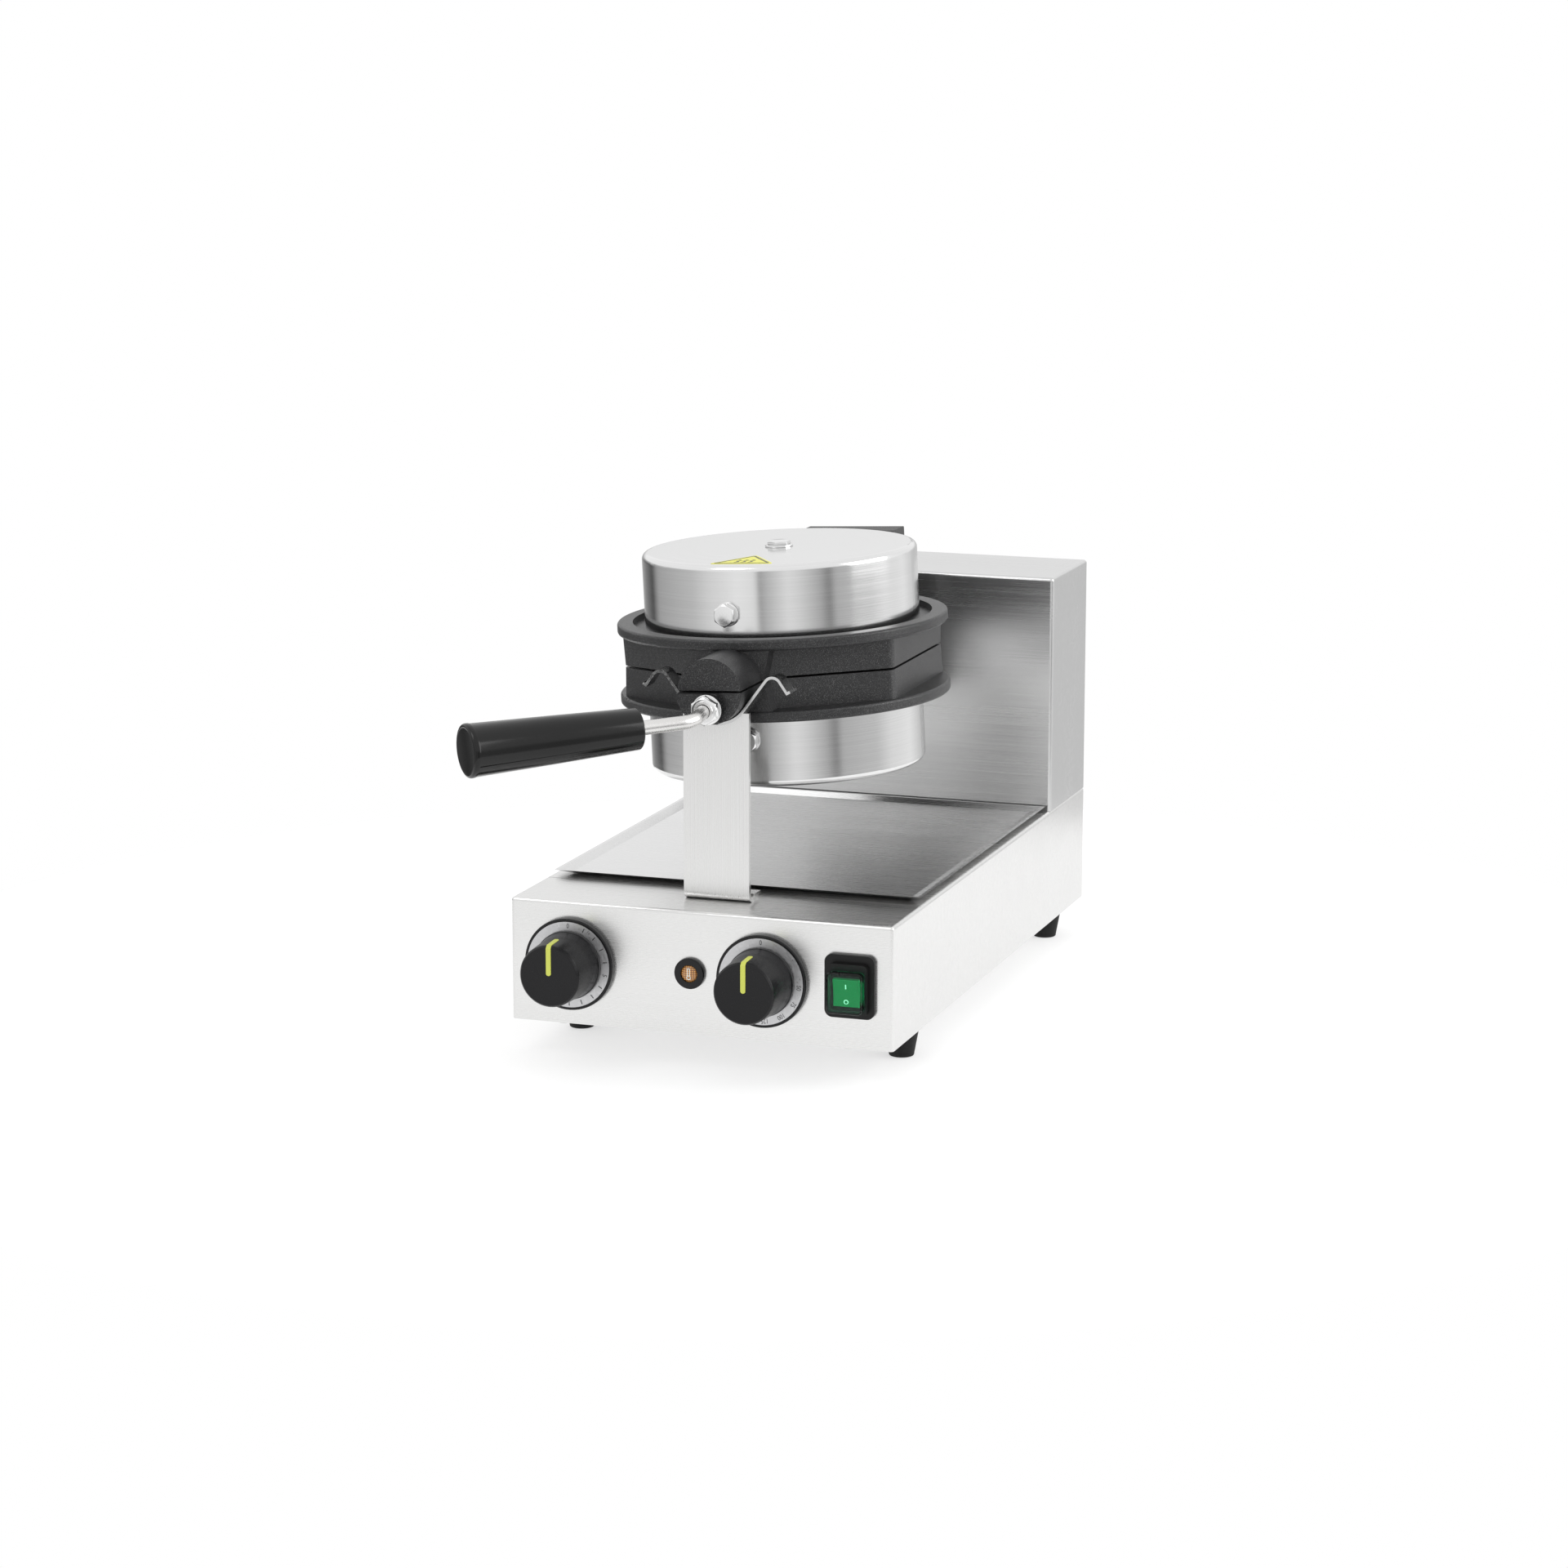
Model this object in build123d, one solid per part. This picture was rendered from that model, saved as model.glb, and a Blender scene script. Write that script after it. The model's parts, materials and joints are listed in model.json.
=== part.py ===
from build123d import *

import math
import os

# A rotating waffle maker, in millimetres. +X is the object's right, +Y its rear, +Z up.
# The origin is the middle of its footprint, at the height of the table.

# Housing
WIDTH = 250.0
BASE_DEPTH = 442.0
BASE_HEIGHT = 78.0
TOWER_DEPTH = 88.0
TOWER_HEIGHT = 160.8
SHEET = 1.2
EDGE_R = 2.2
FOOT_HEIGHT = 22.0

# Main places, worked out from the housing
SIDE = WIDTH / 2
FRONT = -162.8
REAR = FRONT + BASE_DEPTH
BASE_TOP = FOOT_HEIGHT + BASE_HEIGHT
TOWER_FRONT = REAR - TOWER_DEPTH
TOWER_TOP = BASE_TOP + TOWER_HEIGHT

# Feet, screws and cable inlet, as (x, y), or (x, height above the table) on the rear wall
FEET = {
    "foot_front_left": (-107.5, FRONT + 73.5),
    "foot_front_right": (107.5, FRONT + 73.5),
    "foot_rear_left": (-107.5, FRONT + 406.0),
    "foot_rear_right": (107.5, FRONT + 406.0),
}
PLATE_SCREWS = ((-94.0, FRONT + 9.0), (94.0, FRONT + 9.0), (-94.0, REAR - 9.0), (94.0, REAR - 9.0))
COVER_SCREWS = [(x, z) for x in (-110.0, 110.0) for z in (BASE_TOP + 20, TOWER_TOP - 20)]
BRACKET_SCREWS = ((-13.0, FRONT + 42.0), (13.0, FRONT + 42.0))
GLAND_AT = (88.0, FOOT_HEIGHT + 30.0)

# Turning iron: pivot axis along Y, rest pose a little right side up
PIVOT_Z = FOOT_HEIGHT + 212.0
REST_TILT = 2.8
IRON_Y = FRONT + 160.0
HINGE_Y = FRONT + 284.0
HINGE_Z = 46.0
PIN_R = 5.0
RUNNING_GAP = 0.05

# Baking plates, as heights above the split
SEAM = 0.7
HEX_R = 103.8
HEX_TOP = 19.0
FLANGE_R = 106.0
FLANGE_TOP = 26.0
DRUM_R = 88.0
DRUM_SEAT = 22.0
DRUM_TOP = 70.0
CAVITY_R = 82.0
CAVITY_DEPTH = 12.0
POST_PITCH = 17.0
POST_SIZE = 10.0
POST_HEIGHT = 9.0
RECESS_R = 84.0
RECESS_FLOOR = 20.0
BOSS_R = 20.5
PAD_HALF_LOW = 21.6
PAD_HALF_HIGH = 26.0
SIDE_BOLT_ANGLE = -3.2
SIDE_BOLT_HEIGHT = 39.6

# Rotor yoke behind the iron, and its shaft
YOKE_HALF_X = 33.0
YOKE_HALF_Z = 61.0
YOKE_FRONT = FRONT + 296.0
YOKE_BACK = FRONT + 320.0
YOKE_WALL = 3.0
SHAFT_R = 15.0
STOP_ARM_HALF = 4.0

# Front bracket and cradle
BRACKET_Y = FRONT + 31.0
BRACKET_HALF = 21.5
BRACKET_THICK = 3.0
CRADLE_R = 21.2
CRADLE_THICK = 1.7
CRADLE_DEPTH = 13.0

# Controls on the front panel: X and height above the table
TIMER_AT = (39.8 - SIDE, 38.8 + FOOT_HEIGHT)
THERMOSTAT_AT = (166.4 - SIDE, 38.3 + FOOT_HEIGHT)
LAMP_AT = (119.0 - SIDE, 39.0 + FOOT_HEIGHT)
SWITCH_AT = (223.0 - SIDE, 39.5 + FOOT_HEIGHT)
COVER_AT = (222.6 - SIDE, 37.3 + FOOT_HEIGHT)
BEZEL_R = 29.2
BEZEL_DEPTH = 4.4
DIAL_R = 27.3
DIAL_IN_R = 12.0
KNOB_BACK = 4.8
KNOB_FRONT = 37.0
CONTROL_SHAFT_R = 3.0
ROCKER_TILT = 6.0

# Handle
HANDLE_DROP = 10.0
ROD_R = 4.4
GRIP_START = (-25.6, FRONT - 38.0, -12.8)
GRIP_END = (-105.8, FRONT - 114.5, -13.5)
GRIP_R_IN = 12.8
GRIP_R_OUT = 16.5


# Shapes used by several sub-parts


def block(x0, x1, y0, y1, z0, z1):
    """Upright block between two corners."""
    return Pos((x0 + x1) / 2, (y0 + y1) / 2, (z0 + z1) / 2) * Box(x1 - x0, y1 - y0, z1 - z0)


def post(r, x, y, z0, z1):
    """Round bar along Z."""
    return Pos(x, y, (z0 + z1) / 2) * Cylinder(r, z1 - z0)


def rod_y(r, x, z, y0, y1):
    """Round bar along Y."""
    return Pos(x, (y0 + y1) / 2, z) * Rot(90, 0, 0) * Cylinder(r, y1 - y0)


def rod_x(r, y, z, x0, x1):
    """Round bar along X."""
    return Pos((x0 + x1) / 2, y, z) * Rot(0, 90, 0) * Cylinder(r, x1 - x0)


def ring_y(r_out, r_in, x, z, y0, y1):
    """Washer or ring along Y."""
    return rod_y(r_out, x, z, y0, y1) - rod_y(r_in, x, z, y0 - 1, y1 + 1)


def hex_bar(across_flats, height):
    """Hexagonal bar standing on the XY plane."""
    return extrude(RegularPolygon(across_flats / math.sqrt(3), 6), height)


def side_plate(outline, x0, x1):
    """Plate between two X values with an outline of (y, z) points."""
    face = make_face(Polyline(*[(x0, y, z) for y, z in outline], close=True))
    return extrude(face, x1 - x0, dir=(1, 0, 0))


def place_iron(shape):
    """Carries a shape from the level iron, measured from the pivot axis, to its rest pose."""
    return Pos(0, 0, PIVOT_Z) * Rot(0, -REST_TILT, 0) * shape


def lower(shape):
    """The lower half's copy of an upper-half shape: the same piece, turned over."""
    return Rot(0, 180, 0) * shape


# Base


def base_shell():
    """Folded stainless housing, open below."""
    outer = block(-SIDE, SIDE, FRONT, REAR, FOOT_HEIGHT, BASE_TOP)
    upright = outer.edges().filter_by(Axis.Z)
    top = outer.edges().group_by(Axis.Z)[-1]
    shell = fillet(upright + top, EDGE_R)
    shell -= block(
        -SIDE + SHEET, SIDE - SHEET, FRONT + SHEET, REAR - SHEET, FOOT_HEIGHT - 1, BASE_TOP - SHEET
    )
    for x, z in (TIMER_AT, THERMOSTAT_AT):
        shell -= rod_y(5.0, x, z, FRONT - 1, FRONT + 3)
    shell -= rod_y(6.2, *LAMP_AT, FRONT - 1, FRONT + 3)
    x, z = SWITCH_AT
    shell -= block(x - 13.5, x + 13.5, FRONT - 1, FRONT + 3, z - 16, z + 16)
    shell -= rod_y(8.1, *GLAND_AT, REAR - 3, REAR + 1)
    shell -= post(14.0, 0, REAR - 60, BASE_TOP - 3, BASE_TOP + 1)
    for x, y in BRACKET_SCREWS:
        shell -= post(2.6, x, y, BASE_TOP - 3, BASE_TOP + 1)
    crease_y = FRONT + 58.5
    shell -= block(-SIDE - 1, SIDE + 1, crease_y, crease_y + 0.6, BASE_TOP - 0.5, BASE_TOP + 1)
    return shell


def bottom_plate():
    """Closing plate with turned-up lips, cooling slots and foot holes."""
    gap = SHEET + 0.3
    plate = block(-SIDE + gap, SIDE - gap, FRONT + gap, REAR - gap, FOOT_HEIGHT, FOOT_HEIGHT + 12)
    plate -= block(
        -SIDE + gap + SHEET,
        SIDE - gap - SHEET,
        FRONT + gap + SHEET,
        REAR - gap - SHEET,
        FOOT_HEIGHT + SHEET,
        FOOT_HEIGHT + 13,
    )
    for row in range(9):
        y = FRONT + 150 + row * 16
        for x in (-55, 0, 55):
            plate -= block(x - 20, x + 20, y - 2, y + 2, FOOT_HEIGHT - 1, FOOT_HEIGHT + 3)
    for x, y in list(FEET.values()) + list(PLATE_SCREWS):
        plate -= post(2.1, x, y, FOOT_HEIGHT - 1, FOOT_HEIGHT + 3)
    return plate


def foot(x, y):
    """Rubber foot, wide at the top, with a recess for its screw."""
    cone = Pos(x, y, FOOT_HEIGHT / 2) * Rot(180, 0, 0) * Cone(11.8, 7.8, FOOT_HEIGHT)
    cone = fillet(cone.edges().group_by(Axis.Z)[0], 0.8)
    cone -= post(4.6, x, y, -1, 8)
    cone -= post(2.1, x, y, 7, FOOT_HEIGHT + 1)
    return cone


def foot_screws():
    """One screw and washer nut for each foot."""
    screws = []
    for x, y in FEET.values():
        screw = post(4.0, x, y, 5.0, 8.0) + post(2.0, x, y, 8.0, FOOT_HEIGHT + 7)
        screw += Pos(x, y, FOOT_HEIGHT + SHEET) * hex_bar(7.0, 3.2)
        screws.append(screw)
    return Compound(children=screws)


def plate_screws():
    """Dome-headed screws that hold the bottom plate from below."""
    screws = []
    for x, y in PLATE_SCREWS:
        head = Pos(x, y, FOOT_HEIGHT) * Sphere(3.6) & block(x - 5, x + 5, y - 5, y + 5, 19.6, 22)
        screws.append(head + post(2.0, x, y, FOOT_HEIGHT, FOOT_HEIGHT + 8))
    return Compound(children=screws)


def cable_gland():
    """Low screwed gland in the rear wall, with its lock nut inside."""
    gland = rod_y(12.0, *GLAND_AT, REAR, REAR + 4)
    gland += rod_y(9.0, *GLAND_AT, REAR + 3, REAR + 9)
    gland += rod_y(8.0, *GLAND_AT, REAR - 12, REAR)
    gland += rod_y(11.5, *GLAND_AT, REAR - SHEET - 5, REAR - SHEET)
    gland -= rod_y(4.5, *GLAND_AT, REAR - 13, REAR + 10)
    return gland


def drip_tray():
    """Shallow loose tray: flat floor and a mitred sloping rim."""
    half = SIDE - 3.0
    front, back = FRONT + 65.0, TOWER_FRONT - 2.0
    slope, rise, floor_z = 9.0, 3.4, BASE_TOP + 0.3
    middle = (front + back) / 2
    length = back - front

    def layer(z):
        low = Plane.XY.offset(z) * Pos(0, middle) * Rectangle(2 * (half - slope), length - 2 * slope)
        high = Plane.XY.offset(z + rise) * Pos(0, middle) * Rectangle(2 * half, length)
        return loft([low, high])

    tray = layer(floor_z)
    tray -= layer(floor_z + 0.9)
    return tray


# Tower


def tower_shell():
    """Stainless cover behind the iron, open below and at the back."""
    outer = block(-SIDE, SIDE, TOWER_FRONT, REAR, BASE_TOP, TOWER_TOP)
    upright = outer.edges().filter_by(Axis.Z)
    top = outer.edges().group_by(Axis.Z)[-1]
    shell = fillet(upright + top, EDGE_R)
    shell -= block(
        -SIDE + SHEET, SIDE - SHEET, TOWER_FRONT + SHEET, REAR + 1, BASE_TOP - 1, TOWER_TOP - SHEET
    )
    shell -= rod_y(SHAFT_R + 1.5, 0, PIVOT_Z, TOWER_FRONT - 1, TOWER_FRONT + 3)
    return shell


def tower_rear_cover():
    """Rear closing plate with rows of cooling slots."""
    gap = SHEET + 0.3
    cover = block(-SIDE + gap, SIDE - gap, REAR - SHEET, REAR, BASE_TOP + 0.3, TOWER_TOP - gap)
    for row in range(6):
        z = BASE_TOP + 50 + row * 12
        cover -= block(-60, 60, REAR - 3, REAR + 1, z, z + 4)
    for x, z in COVER_SCREWS:
        cover -= rod_y(2.0, x, z, REAR - 3, REAR + 1)
    return cover


def cover_screws():
    """Dome-headed screws through the rear cover."""
    screws = []
    for x, z in COVER_SCREWS:
        dome = Pos(x, REAR, z) * Sphere(3.6) & block(x - 5, x + 5, REAR, REAR + 2.2, z - 5, z + 5)
        screws.append(dome + rod_y(1.9, x, z, REAR - 10, REAR))
    return Compound(children=screws)


def bearing_stand():
    """Steel stand inside the tower that carries the bearing."""
    y0, y1 = TOWER_FRONT + 12, TOWER_FRONT + 54
    top = PIVOT_Z - 30
    stand = block(-44, 44, y0, y1, BASE_TOP, top)
    stand -= block(-40, 40, y0 - 1, y1 + 1, BASE_TOP - 1, top - 4)
    for x0, x1 in ((-64, -40), (40, 64)):
        stand += block(x0, x1, y0, y1, BASE_TOP, BASE_TOP + 4)
    return stand


def bearing_block():
    """Cast housing of the rotor bearing, with its two end stops."""
    y0, y1 = TOWER_FRONT + 14, TOWER_FRONT + 52
    housing = block(-34, 34, y0, y1, PIVOT_Z - 30, PIVOT_Z + 14) + rod_y(23, 0, PIVOT_Z, y0, y1)
    housing -= rod_y(SHAFT_R + 4, 0, PIVOT_Z, y0 - 1, y1 + 1)
    for side in (-1, 1):
        turned = Pos(0, 0, PIVOT_Z) * Rot(0, -side * REST_TILT, 0)
        housing += turned * rod_y(3.0, side * 27, STOP_ARM_HALF + 3.3, y1 - 4, y1 + 13)
    return housing


def bearing_bush():
    """Bronze bush that the rotor shaft turns in."""
    y0, y1 = TOWER_FRONT + 14, TOWER_FRONT + 52
    return ring_y(SHAFT_R + 4, SHAFT_R + RUNNING_GAP, 0, PIVOT_Z, y0, y1)


# Front bracket


def front_bracket():
    """Upright strip with a doubled foot and a round seat for the cradle."""
    foot_r = 6.0
    seat_r = CRADLE_R + CRADLE_THICK + 0.02
    shoulder = PIVOT_Z - 14.5
    bracket = block(
        -BRACKET_HALF, BRACKET_HALF, BRACKET_Y, BRACKET_Y + foot_r, BASE_TOP, BASE_TOP + foot_r
    )
    front_low = bracket.edges().filter_by(Axis.X).sort_by(Axis.Y)[:2].sort_by(Axis.Z)[0]
    bracket = fillet(front_low, foot_r - 0.5)
    inner = block(
        -BRACKET_HALF - 1,
        BRACKET_HALF + 1,
        BRACKET_Y + BRACKET_THICK,
        BRACKET_Y + foot_r + 1,
        BASE_TOP + BRACKET_THICK,
        BASE_TOP + foot_r + 1,
    )
    bracket -= inner
    bracket += block(
        -BRACKET_HALF, BRACKET_HALF, BRACKET_Y, BRACKET_Y + BRACKET_THICK, BASE_TOP + foot_r, shoulder
    )
    bracket += block(
        -BRACKET_HALF,
        BRACKET_HALF,
        BRACKET_Y + foot_r,
        BRACKET_Y + 17,
        BASE_TOP,
        BASE_TOP + BRACKET_THICK,
    )
    bracket += block(
        -BRACKET_HALF - 1.5,
        BRACKET_HALF + 1.5,
        BRACKET_Y + foot_r,
        BRACKET_Y + 17,
        BASE_TOP + BRACKET_THICK,
        BASE_TOP + BRACKET_THICK + 2,
    )
    bracket -= rod_y(seat_r, 0, PIVOT_Z, BRACKET_Y - 1, BRACKET_Y + 5)
    for x, y in BRACKET_SCREWS:
        bracket -= post(2.6, x, y, BASE_TOP - 1, BASE_TOP + 6)
    return bracket


def bracket_screws():
    """Two screws with nuts that hold the bracket to the base."""
    head_z = BASE_TOP + BRACKET_THICK + 2
    screws = []
    for x, y in BRACKET_SCREWS:
        screw = post(4.2, x, y, head_z, head_z + 2.4) + post(2.5, x, y, BASE_TOP - 10, head_z)
        screw += Pos(x, y, BASE_TOP - SHEET - 4) * hex_bar(8.0, 4.0)
        screws.append(screw)
    return Compound(children=screws)


def cradle_spring():
    """W-shaped spring strip: a round seat, two raised shoulders and curled ends."""
    mid_r = CRADLE_R + CRADLE_THICK / 2
    peak = (36.8, 12.6)
    reach = math.hypot(*peak)
    leave = math.atan2(peak[1], peak[0]) - math.acos(mid_r / reach)
    start = (mid_r * math.cos(leave), mid_r * math.sin(leave))
    seat = ThreePointArc((-start[0], start[1]), (0, -mid_r), start)
    wing = FilletPolyline(start, peak, (46.0, -0.5), radius=5.5)
    curl = Line((46.0, -0.5), (48.0, 0.6))
    right = extrude(trace(Curve() + [wing, curl], line_width=CRADLE_THICK), CRADLE_DEPTH)
    left = mirror(right, about=Plane.YZ)
    strip = extrude(trace(seat, line_width=CRADLE_THICK), CRADLE_DEPTH) + right + left
    return Pos(0, BRACKET_Y + CRADLE_DEPTH, PIVOT_Z) * Rot(90, 0, 0) * strip


# Iron: each half is modelled level, with the split at Z = 0 and the upper half above it


def waffle_posts():
    """Tapered square posts of the waffle grid, with a wider gap at the quarter lines."""
    places = []
    steps = [(k + 0.5) * POST_PITCH + 1.5 for k in range(5)]
    for x in steps:
        for y in steps:
            if math.hypot(x + POST_SIZE / 2, y + POST_SIZE / 2) < CAVITY_R - 1:
                places += [Pos(sx * x, sy * y) for sx in (-1, 1) for sy in (-1, 1)]
    grid = Sketch() + [place * Rectangle(POST_SIZE, POST_SIZE) for place in places]
    return extrude(Plane.XY.offset(SEAM + CAVITY_DEPTH) * grid, -POST_HEIGHT, taper=14)


def front_pad():
    """Web in front of the hexagon, wider at the flange than at the seam."""
    low, high, top = PAD_HALF_LOW, PAD_HALF_HIGH, HEX_TOP + 1
    outline = [(-low, SEAM), (low, SEAM), (high, top), (-high, top)]
    face = make_face(Polyline(*[(x, -FLANGE_R, z) for x, z in outline], close=True))
    return extrude(face, FLANGE_R - 60, dir=(0, 1, 0)) & post(FLANGE_R - 1.5, 0, 0, SEAM, top)


def plate_body():
    """Upper casting without its hinge lugs: hexagonal plate, round flange, front boss, grid."""
    outline = RegularPolygon(HEX_R, 6, rotation=30)
    hexagon = Plane.XY.offset(SEAM) * fillet(outline.vertices(), 6.0)
    body = extrude(hexagon, HEX_TOP + 1 - SEAM, taper=-2.5)
    flange = post(FLANGE_R, 0, 0, HEX_TOP, FLANGE_TOP)
    flange = fillet(flange.edges(), 1.8)
    flange -= post(FLANGE_R - 10, 0, 0, DRUM_SEAT, FLANGE_TOP + 1)
    body += flange
    body += front_pad()
    boss = rod_y(BOSS_R, 0, 0, -141, -90) & block(-30, 30, -150, -80, SEAM, 30)
    body += boss
    body -= post(RECESS_R, 0, 0, RECESS_FLOOR, FLANGE_TOP + 1)
    body -= block(-16, 16, 80, 112, RECESS_FLOOR, FLANGE_TOP + 1)
    body -= post(CAVITY_R, 0, 0, SEAM - 1, SEAM + CAVITY_DEPTH)
    body += waffle_posts()
    body += post(9, 0, 0, RECESS_FLOOR - 1, RECESS_FLOOR + 4)
    body -= post(4.05, 0, 0, 15.5, RECESS_FLOOR + 5)
    return Pos(0, IRON_Y, 0) * body


def hinge_lugs():
    """Two cast arms that rise from the flange to the hinge pin."""
    foot_y, foot_z = IRON_Y + 92, FLANGE_TOP - 6
    outline = [
        (foot_y, foot_z),
        (foot_y + 10, foot_z),
        (HINGE_Y + 6.5, HINGE_Z - 6.5),
        (HINGE_Y - 6.5, HINGE_Z + 6.5),
        (foot_y, FLANGE_TOP + 4),
    ]
    lugs = []
    for x0, x1 in ((-29, -20), (20, 29)):
        lugs.append(side_plate(outline, x0, x1) + rod_x(9.2, HINGE_Y, HINGE_Z, x0, x1))
    bore = rod_x(PIN_R + RUNNING_GAP, HINGE_Y, HINGE_Z, -40, 40)
    return [lug - bore for lug in lugs]


def upper_baking_plate():
    """Upper casting with its two hinge lugs."""
    plate = plate_body()
    for lug in hinge_lugs():
        plate += lug
    return plate


def lower_baking_plate():
    """Lower casting with its two hinge lugs and the block that holds the handle."""
    plate = lower(upper_baking_plate())
    plate -= block(-30, 30, FRONT + 18, FRONT + 19.6, -30, 0)
    left_half = block(-30, 6.0, FRONT + 10, FRONT + 25, -19.5, -SEAM)
    plate += rod_y(BOSS_R, 0, 0, FRONT + 15, FRONT + 20) & left_half
    return plate - rod_y(ROD_R + 0.02, 0.3, -HANDLE_DROP, FRONT + 10, FRONT + 50)


def heating_element():
    """Tubular ring element with two cold legs that rise at the rear."""
    z = RECESS_FLOOR + 4.1
    element = Pos(0, IRON_Y, z) * Torus(60, 4)
    for x in (-10, 10):
        element += rod_y(3.4, x, z, IRON_Y + 58, IRON_Y + 110)
        element += post(3.4, x, IRON_Y + 107, z, z + 16)
    return element


def element_clamp():
    """Pressed disc that holds the element down."""
    z = RECESS_FLOOR + 8.2
    disc = post(79, 0, IRON_Y, z, z + 2) - post(4.4, 0, IRON_Y, z - 1, z + 3)
    return disc


def insulation():
    """Mineral wool disc under the drum."""
    z = RECESS_FLOOR + 10.4
    return post(68, 0, IRON_Y, z, DRUM_TOP - 4) - post(4.8, 0, IRON_Y, z - 1, DRUM_TOP)


def drum_cover():
    """Deep-drawn stainless drum with a rolled rim."""
    drum = post(DRUM_R, 0, IRON_Y, DRUM_SEAT, DRUM_TOP)
    drum = fillet(drum.edges().group_by(Axis.Z)[-1], 4.0)
    hollow = post(DRUM_R - 1, 0, IRON_Y, DRUM_SEAT - 1, DRUM_TOP - 1)
    hollow = fillet(hollow.edges().group_by(Axis.Z)[-1], 3.2)
    drum -= hollow
    drum -= post(4.1, 0, IRON_Y, DRUM_TOP - 3, DRUM_TOP + 1)
    drum -= block(-15, 15, IRON_Y + 80, IRON_Y + 92, DRUM_SEAT - 1, DRUM_SEAT + 5)
    drum -= side_bolt_place() * rod_y(4.1, 0, 0, -DRUM_R - 2, -DRUM_R + 4)
    return drum


def cover_bolt():
    """Central bolt and washer of the drum."""
    washer = post(9.0, 0, IRON_Y, DRUM_TOP, DRUM_TOP + 1.2)
    head = Pos(0, IRON_Y, DRUM_TOP + 1.2) * hex_bar(13.0, 2.6)
    return washer + head + post(4.0, 0, IRON_Y, 16, DRUM_TOP + 1)


def side_bolt_place():
    """Place of the radial side bolt: -Y points out of the drum."""
    return Pos(0, IRON_Y, SIDE_BOLT_HEIGHT) * Rot(0, 0, SIDE_BOLT_ANGLE)


def side_bolt():
    """Radial hexagon bolt in the front of the drum, with its washer and nut."""
    washer = rod_y(7.6, 0, 0, -DRUM_R - 1.7, -DRUM_R - 0.3)
    head = Pos(0, -DRUM_R - 1.7, 0) * Rot(90, 0, 0) * hex_bar(13.0, 5.3)
    shank = rod_y(4.0, 0, 0, -DRUM_R - 1, -72)
    nut = Pos(0, -DRUM_R + 9.5, 0) * Rot(90, 0, 0) * hex_bar(13.0, 6.5)
    return side_bolt_place() * (washer + head + shank + nut)


def thermostat_bulb():
    """Sensing bulb between the lower casting and its clamp disc."""
    return rod_y(3.0, 22, -(RECESS_FLOOR + 3.2), IRON_Y - 36, IRON_Y + 36)


# Rotor


def rotor_yoke():
    """Welded box behind the iron with four hinge cheeks, and its hollow shaft."""
    hx, hz, wall = YOKE_HALF_X, YOKE_HALF_Z, YOKE_WALL
    yoke = block(-hx, hx, YOKE_FRONT, YOKE_BACK, -hz, hz)
    yoke = fillet(yoke.edges().filter_by(Axis.X), 1.5)
    yoke -= block(-hx + wall, hx - wall, YOKE_FRONT - 1, YOKE_BACK - wall, -hz + wall, hz - wall)
    for side in (-1, 1):
        x0, x1 = sorted((side * (hx - wall), side * hx))
        for level in (-1, 1):
            z = level * HINGE_Z
            yoke += block(x0, x1, HINGE_Y, YOKE_FRONT + 2, z - 11, z + 11)
            yoke += rod_x(11, HINGE_Y, z, x0, x1)
    yoke += rod_y(SHAFT_R, 0, 0, YOKE_BACK - wall, REAR - 14)
    yoke += rod_y(SHAFT_R + 7, 0, 0, YOKE_BACK, YOKE_BACK + 6)
    yoke -= rod_y(9, 0, 0, YOKE_BACK - 5, REAR)
    for z in (-HINGE_Z, HINGE_Z):
        yoke -= rod_x(PIN_R + 0.01, HINGE_Y, z, -40, 40)
    return yoke


def hinge_pin():
    """Upper hinge pin with its head and end clip."""
    end = YOKE_HALF_X
    pin = rod_x(PIN_R, HINGE_Y, HINGE_Z, -end - 3.5, end)
    pin += rod_x(7.5, HINGE_Y, HINGE_Z, end, end + 3)
    return pin + rod_x(7, HINGE_Y, HINGE_Z, -end - 2, -end)


def stop_collar():
    """Collar on the shaft whose arm meets the end stops."""
    y0 = TOWER_FRONT + 54
    collar = ring_y(21, SHAFT_R + 0.02, 0, 0, y0, y0 + 10)
    return collar + block(18, 34, y0, y0 + 10, -STOP_ARM_HALF, STOP_ARM_HALF)


# Handle


def handle_rod():
    """Bent steel rod from the lower boss to the grip."""
    start = Vector(0.3, FRONT + 45, -HANDLE_DROP)
    grip = Vector(*GRIP_START)
    along = (Vector(*GRIP_END) - grip).normalized()
    bend = grip + along * ((start.X - grip.X) / along.X)
    path = FilletPolyline(start, (0.3, FRONT + 6, -HANDLE_DROP), bend, grip + along * 62, radius=18)
    return sweep(Plane(path @ 0, z_dir=path % 0) * Circle(ROD_R), path)


def handle_nut():
    """Nut and washer on the rod, tight against the boss."""
    face = FRONT + 15
    nut = Pos(0.3, face - 1.6, -HANDLE_DROP) * Rot(90, 0, 0) * hex_bar(16.0, 7.5)
    nut = nut & rod_y(9.2, 0.3, -HANDLE_DROP, face - 20, face)
    nut += rod_y(9.4, 0.3, -HANDLE_DROP, face - 1.6, face)
    return nut - rod_y(ROD_R + 0.3, 0.3, -HANDLE_DROP, face - 20, face + 5)


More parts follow.
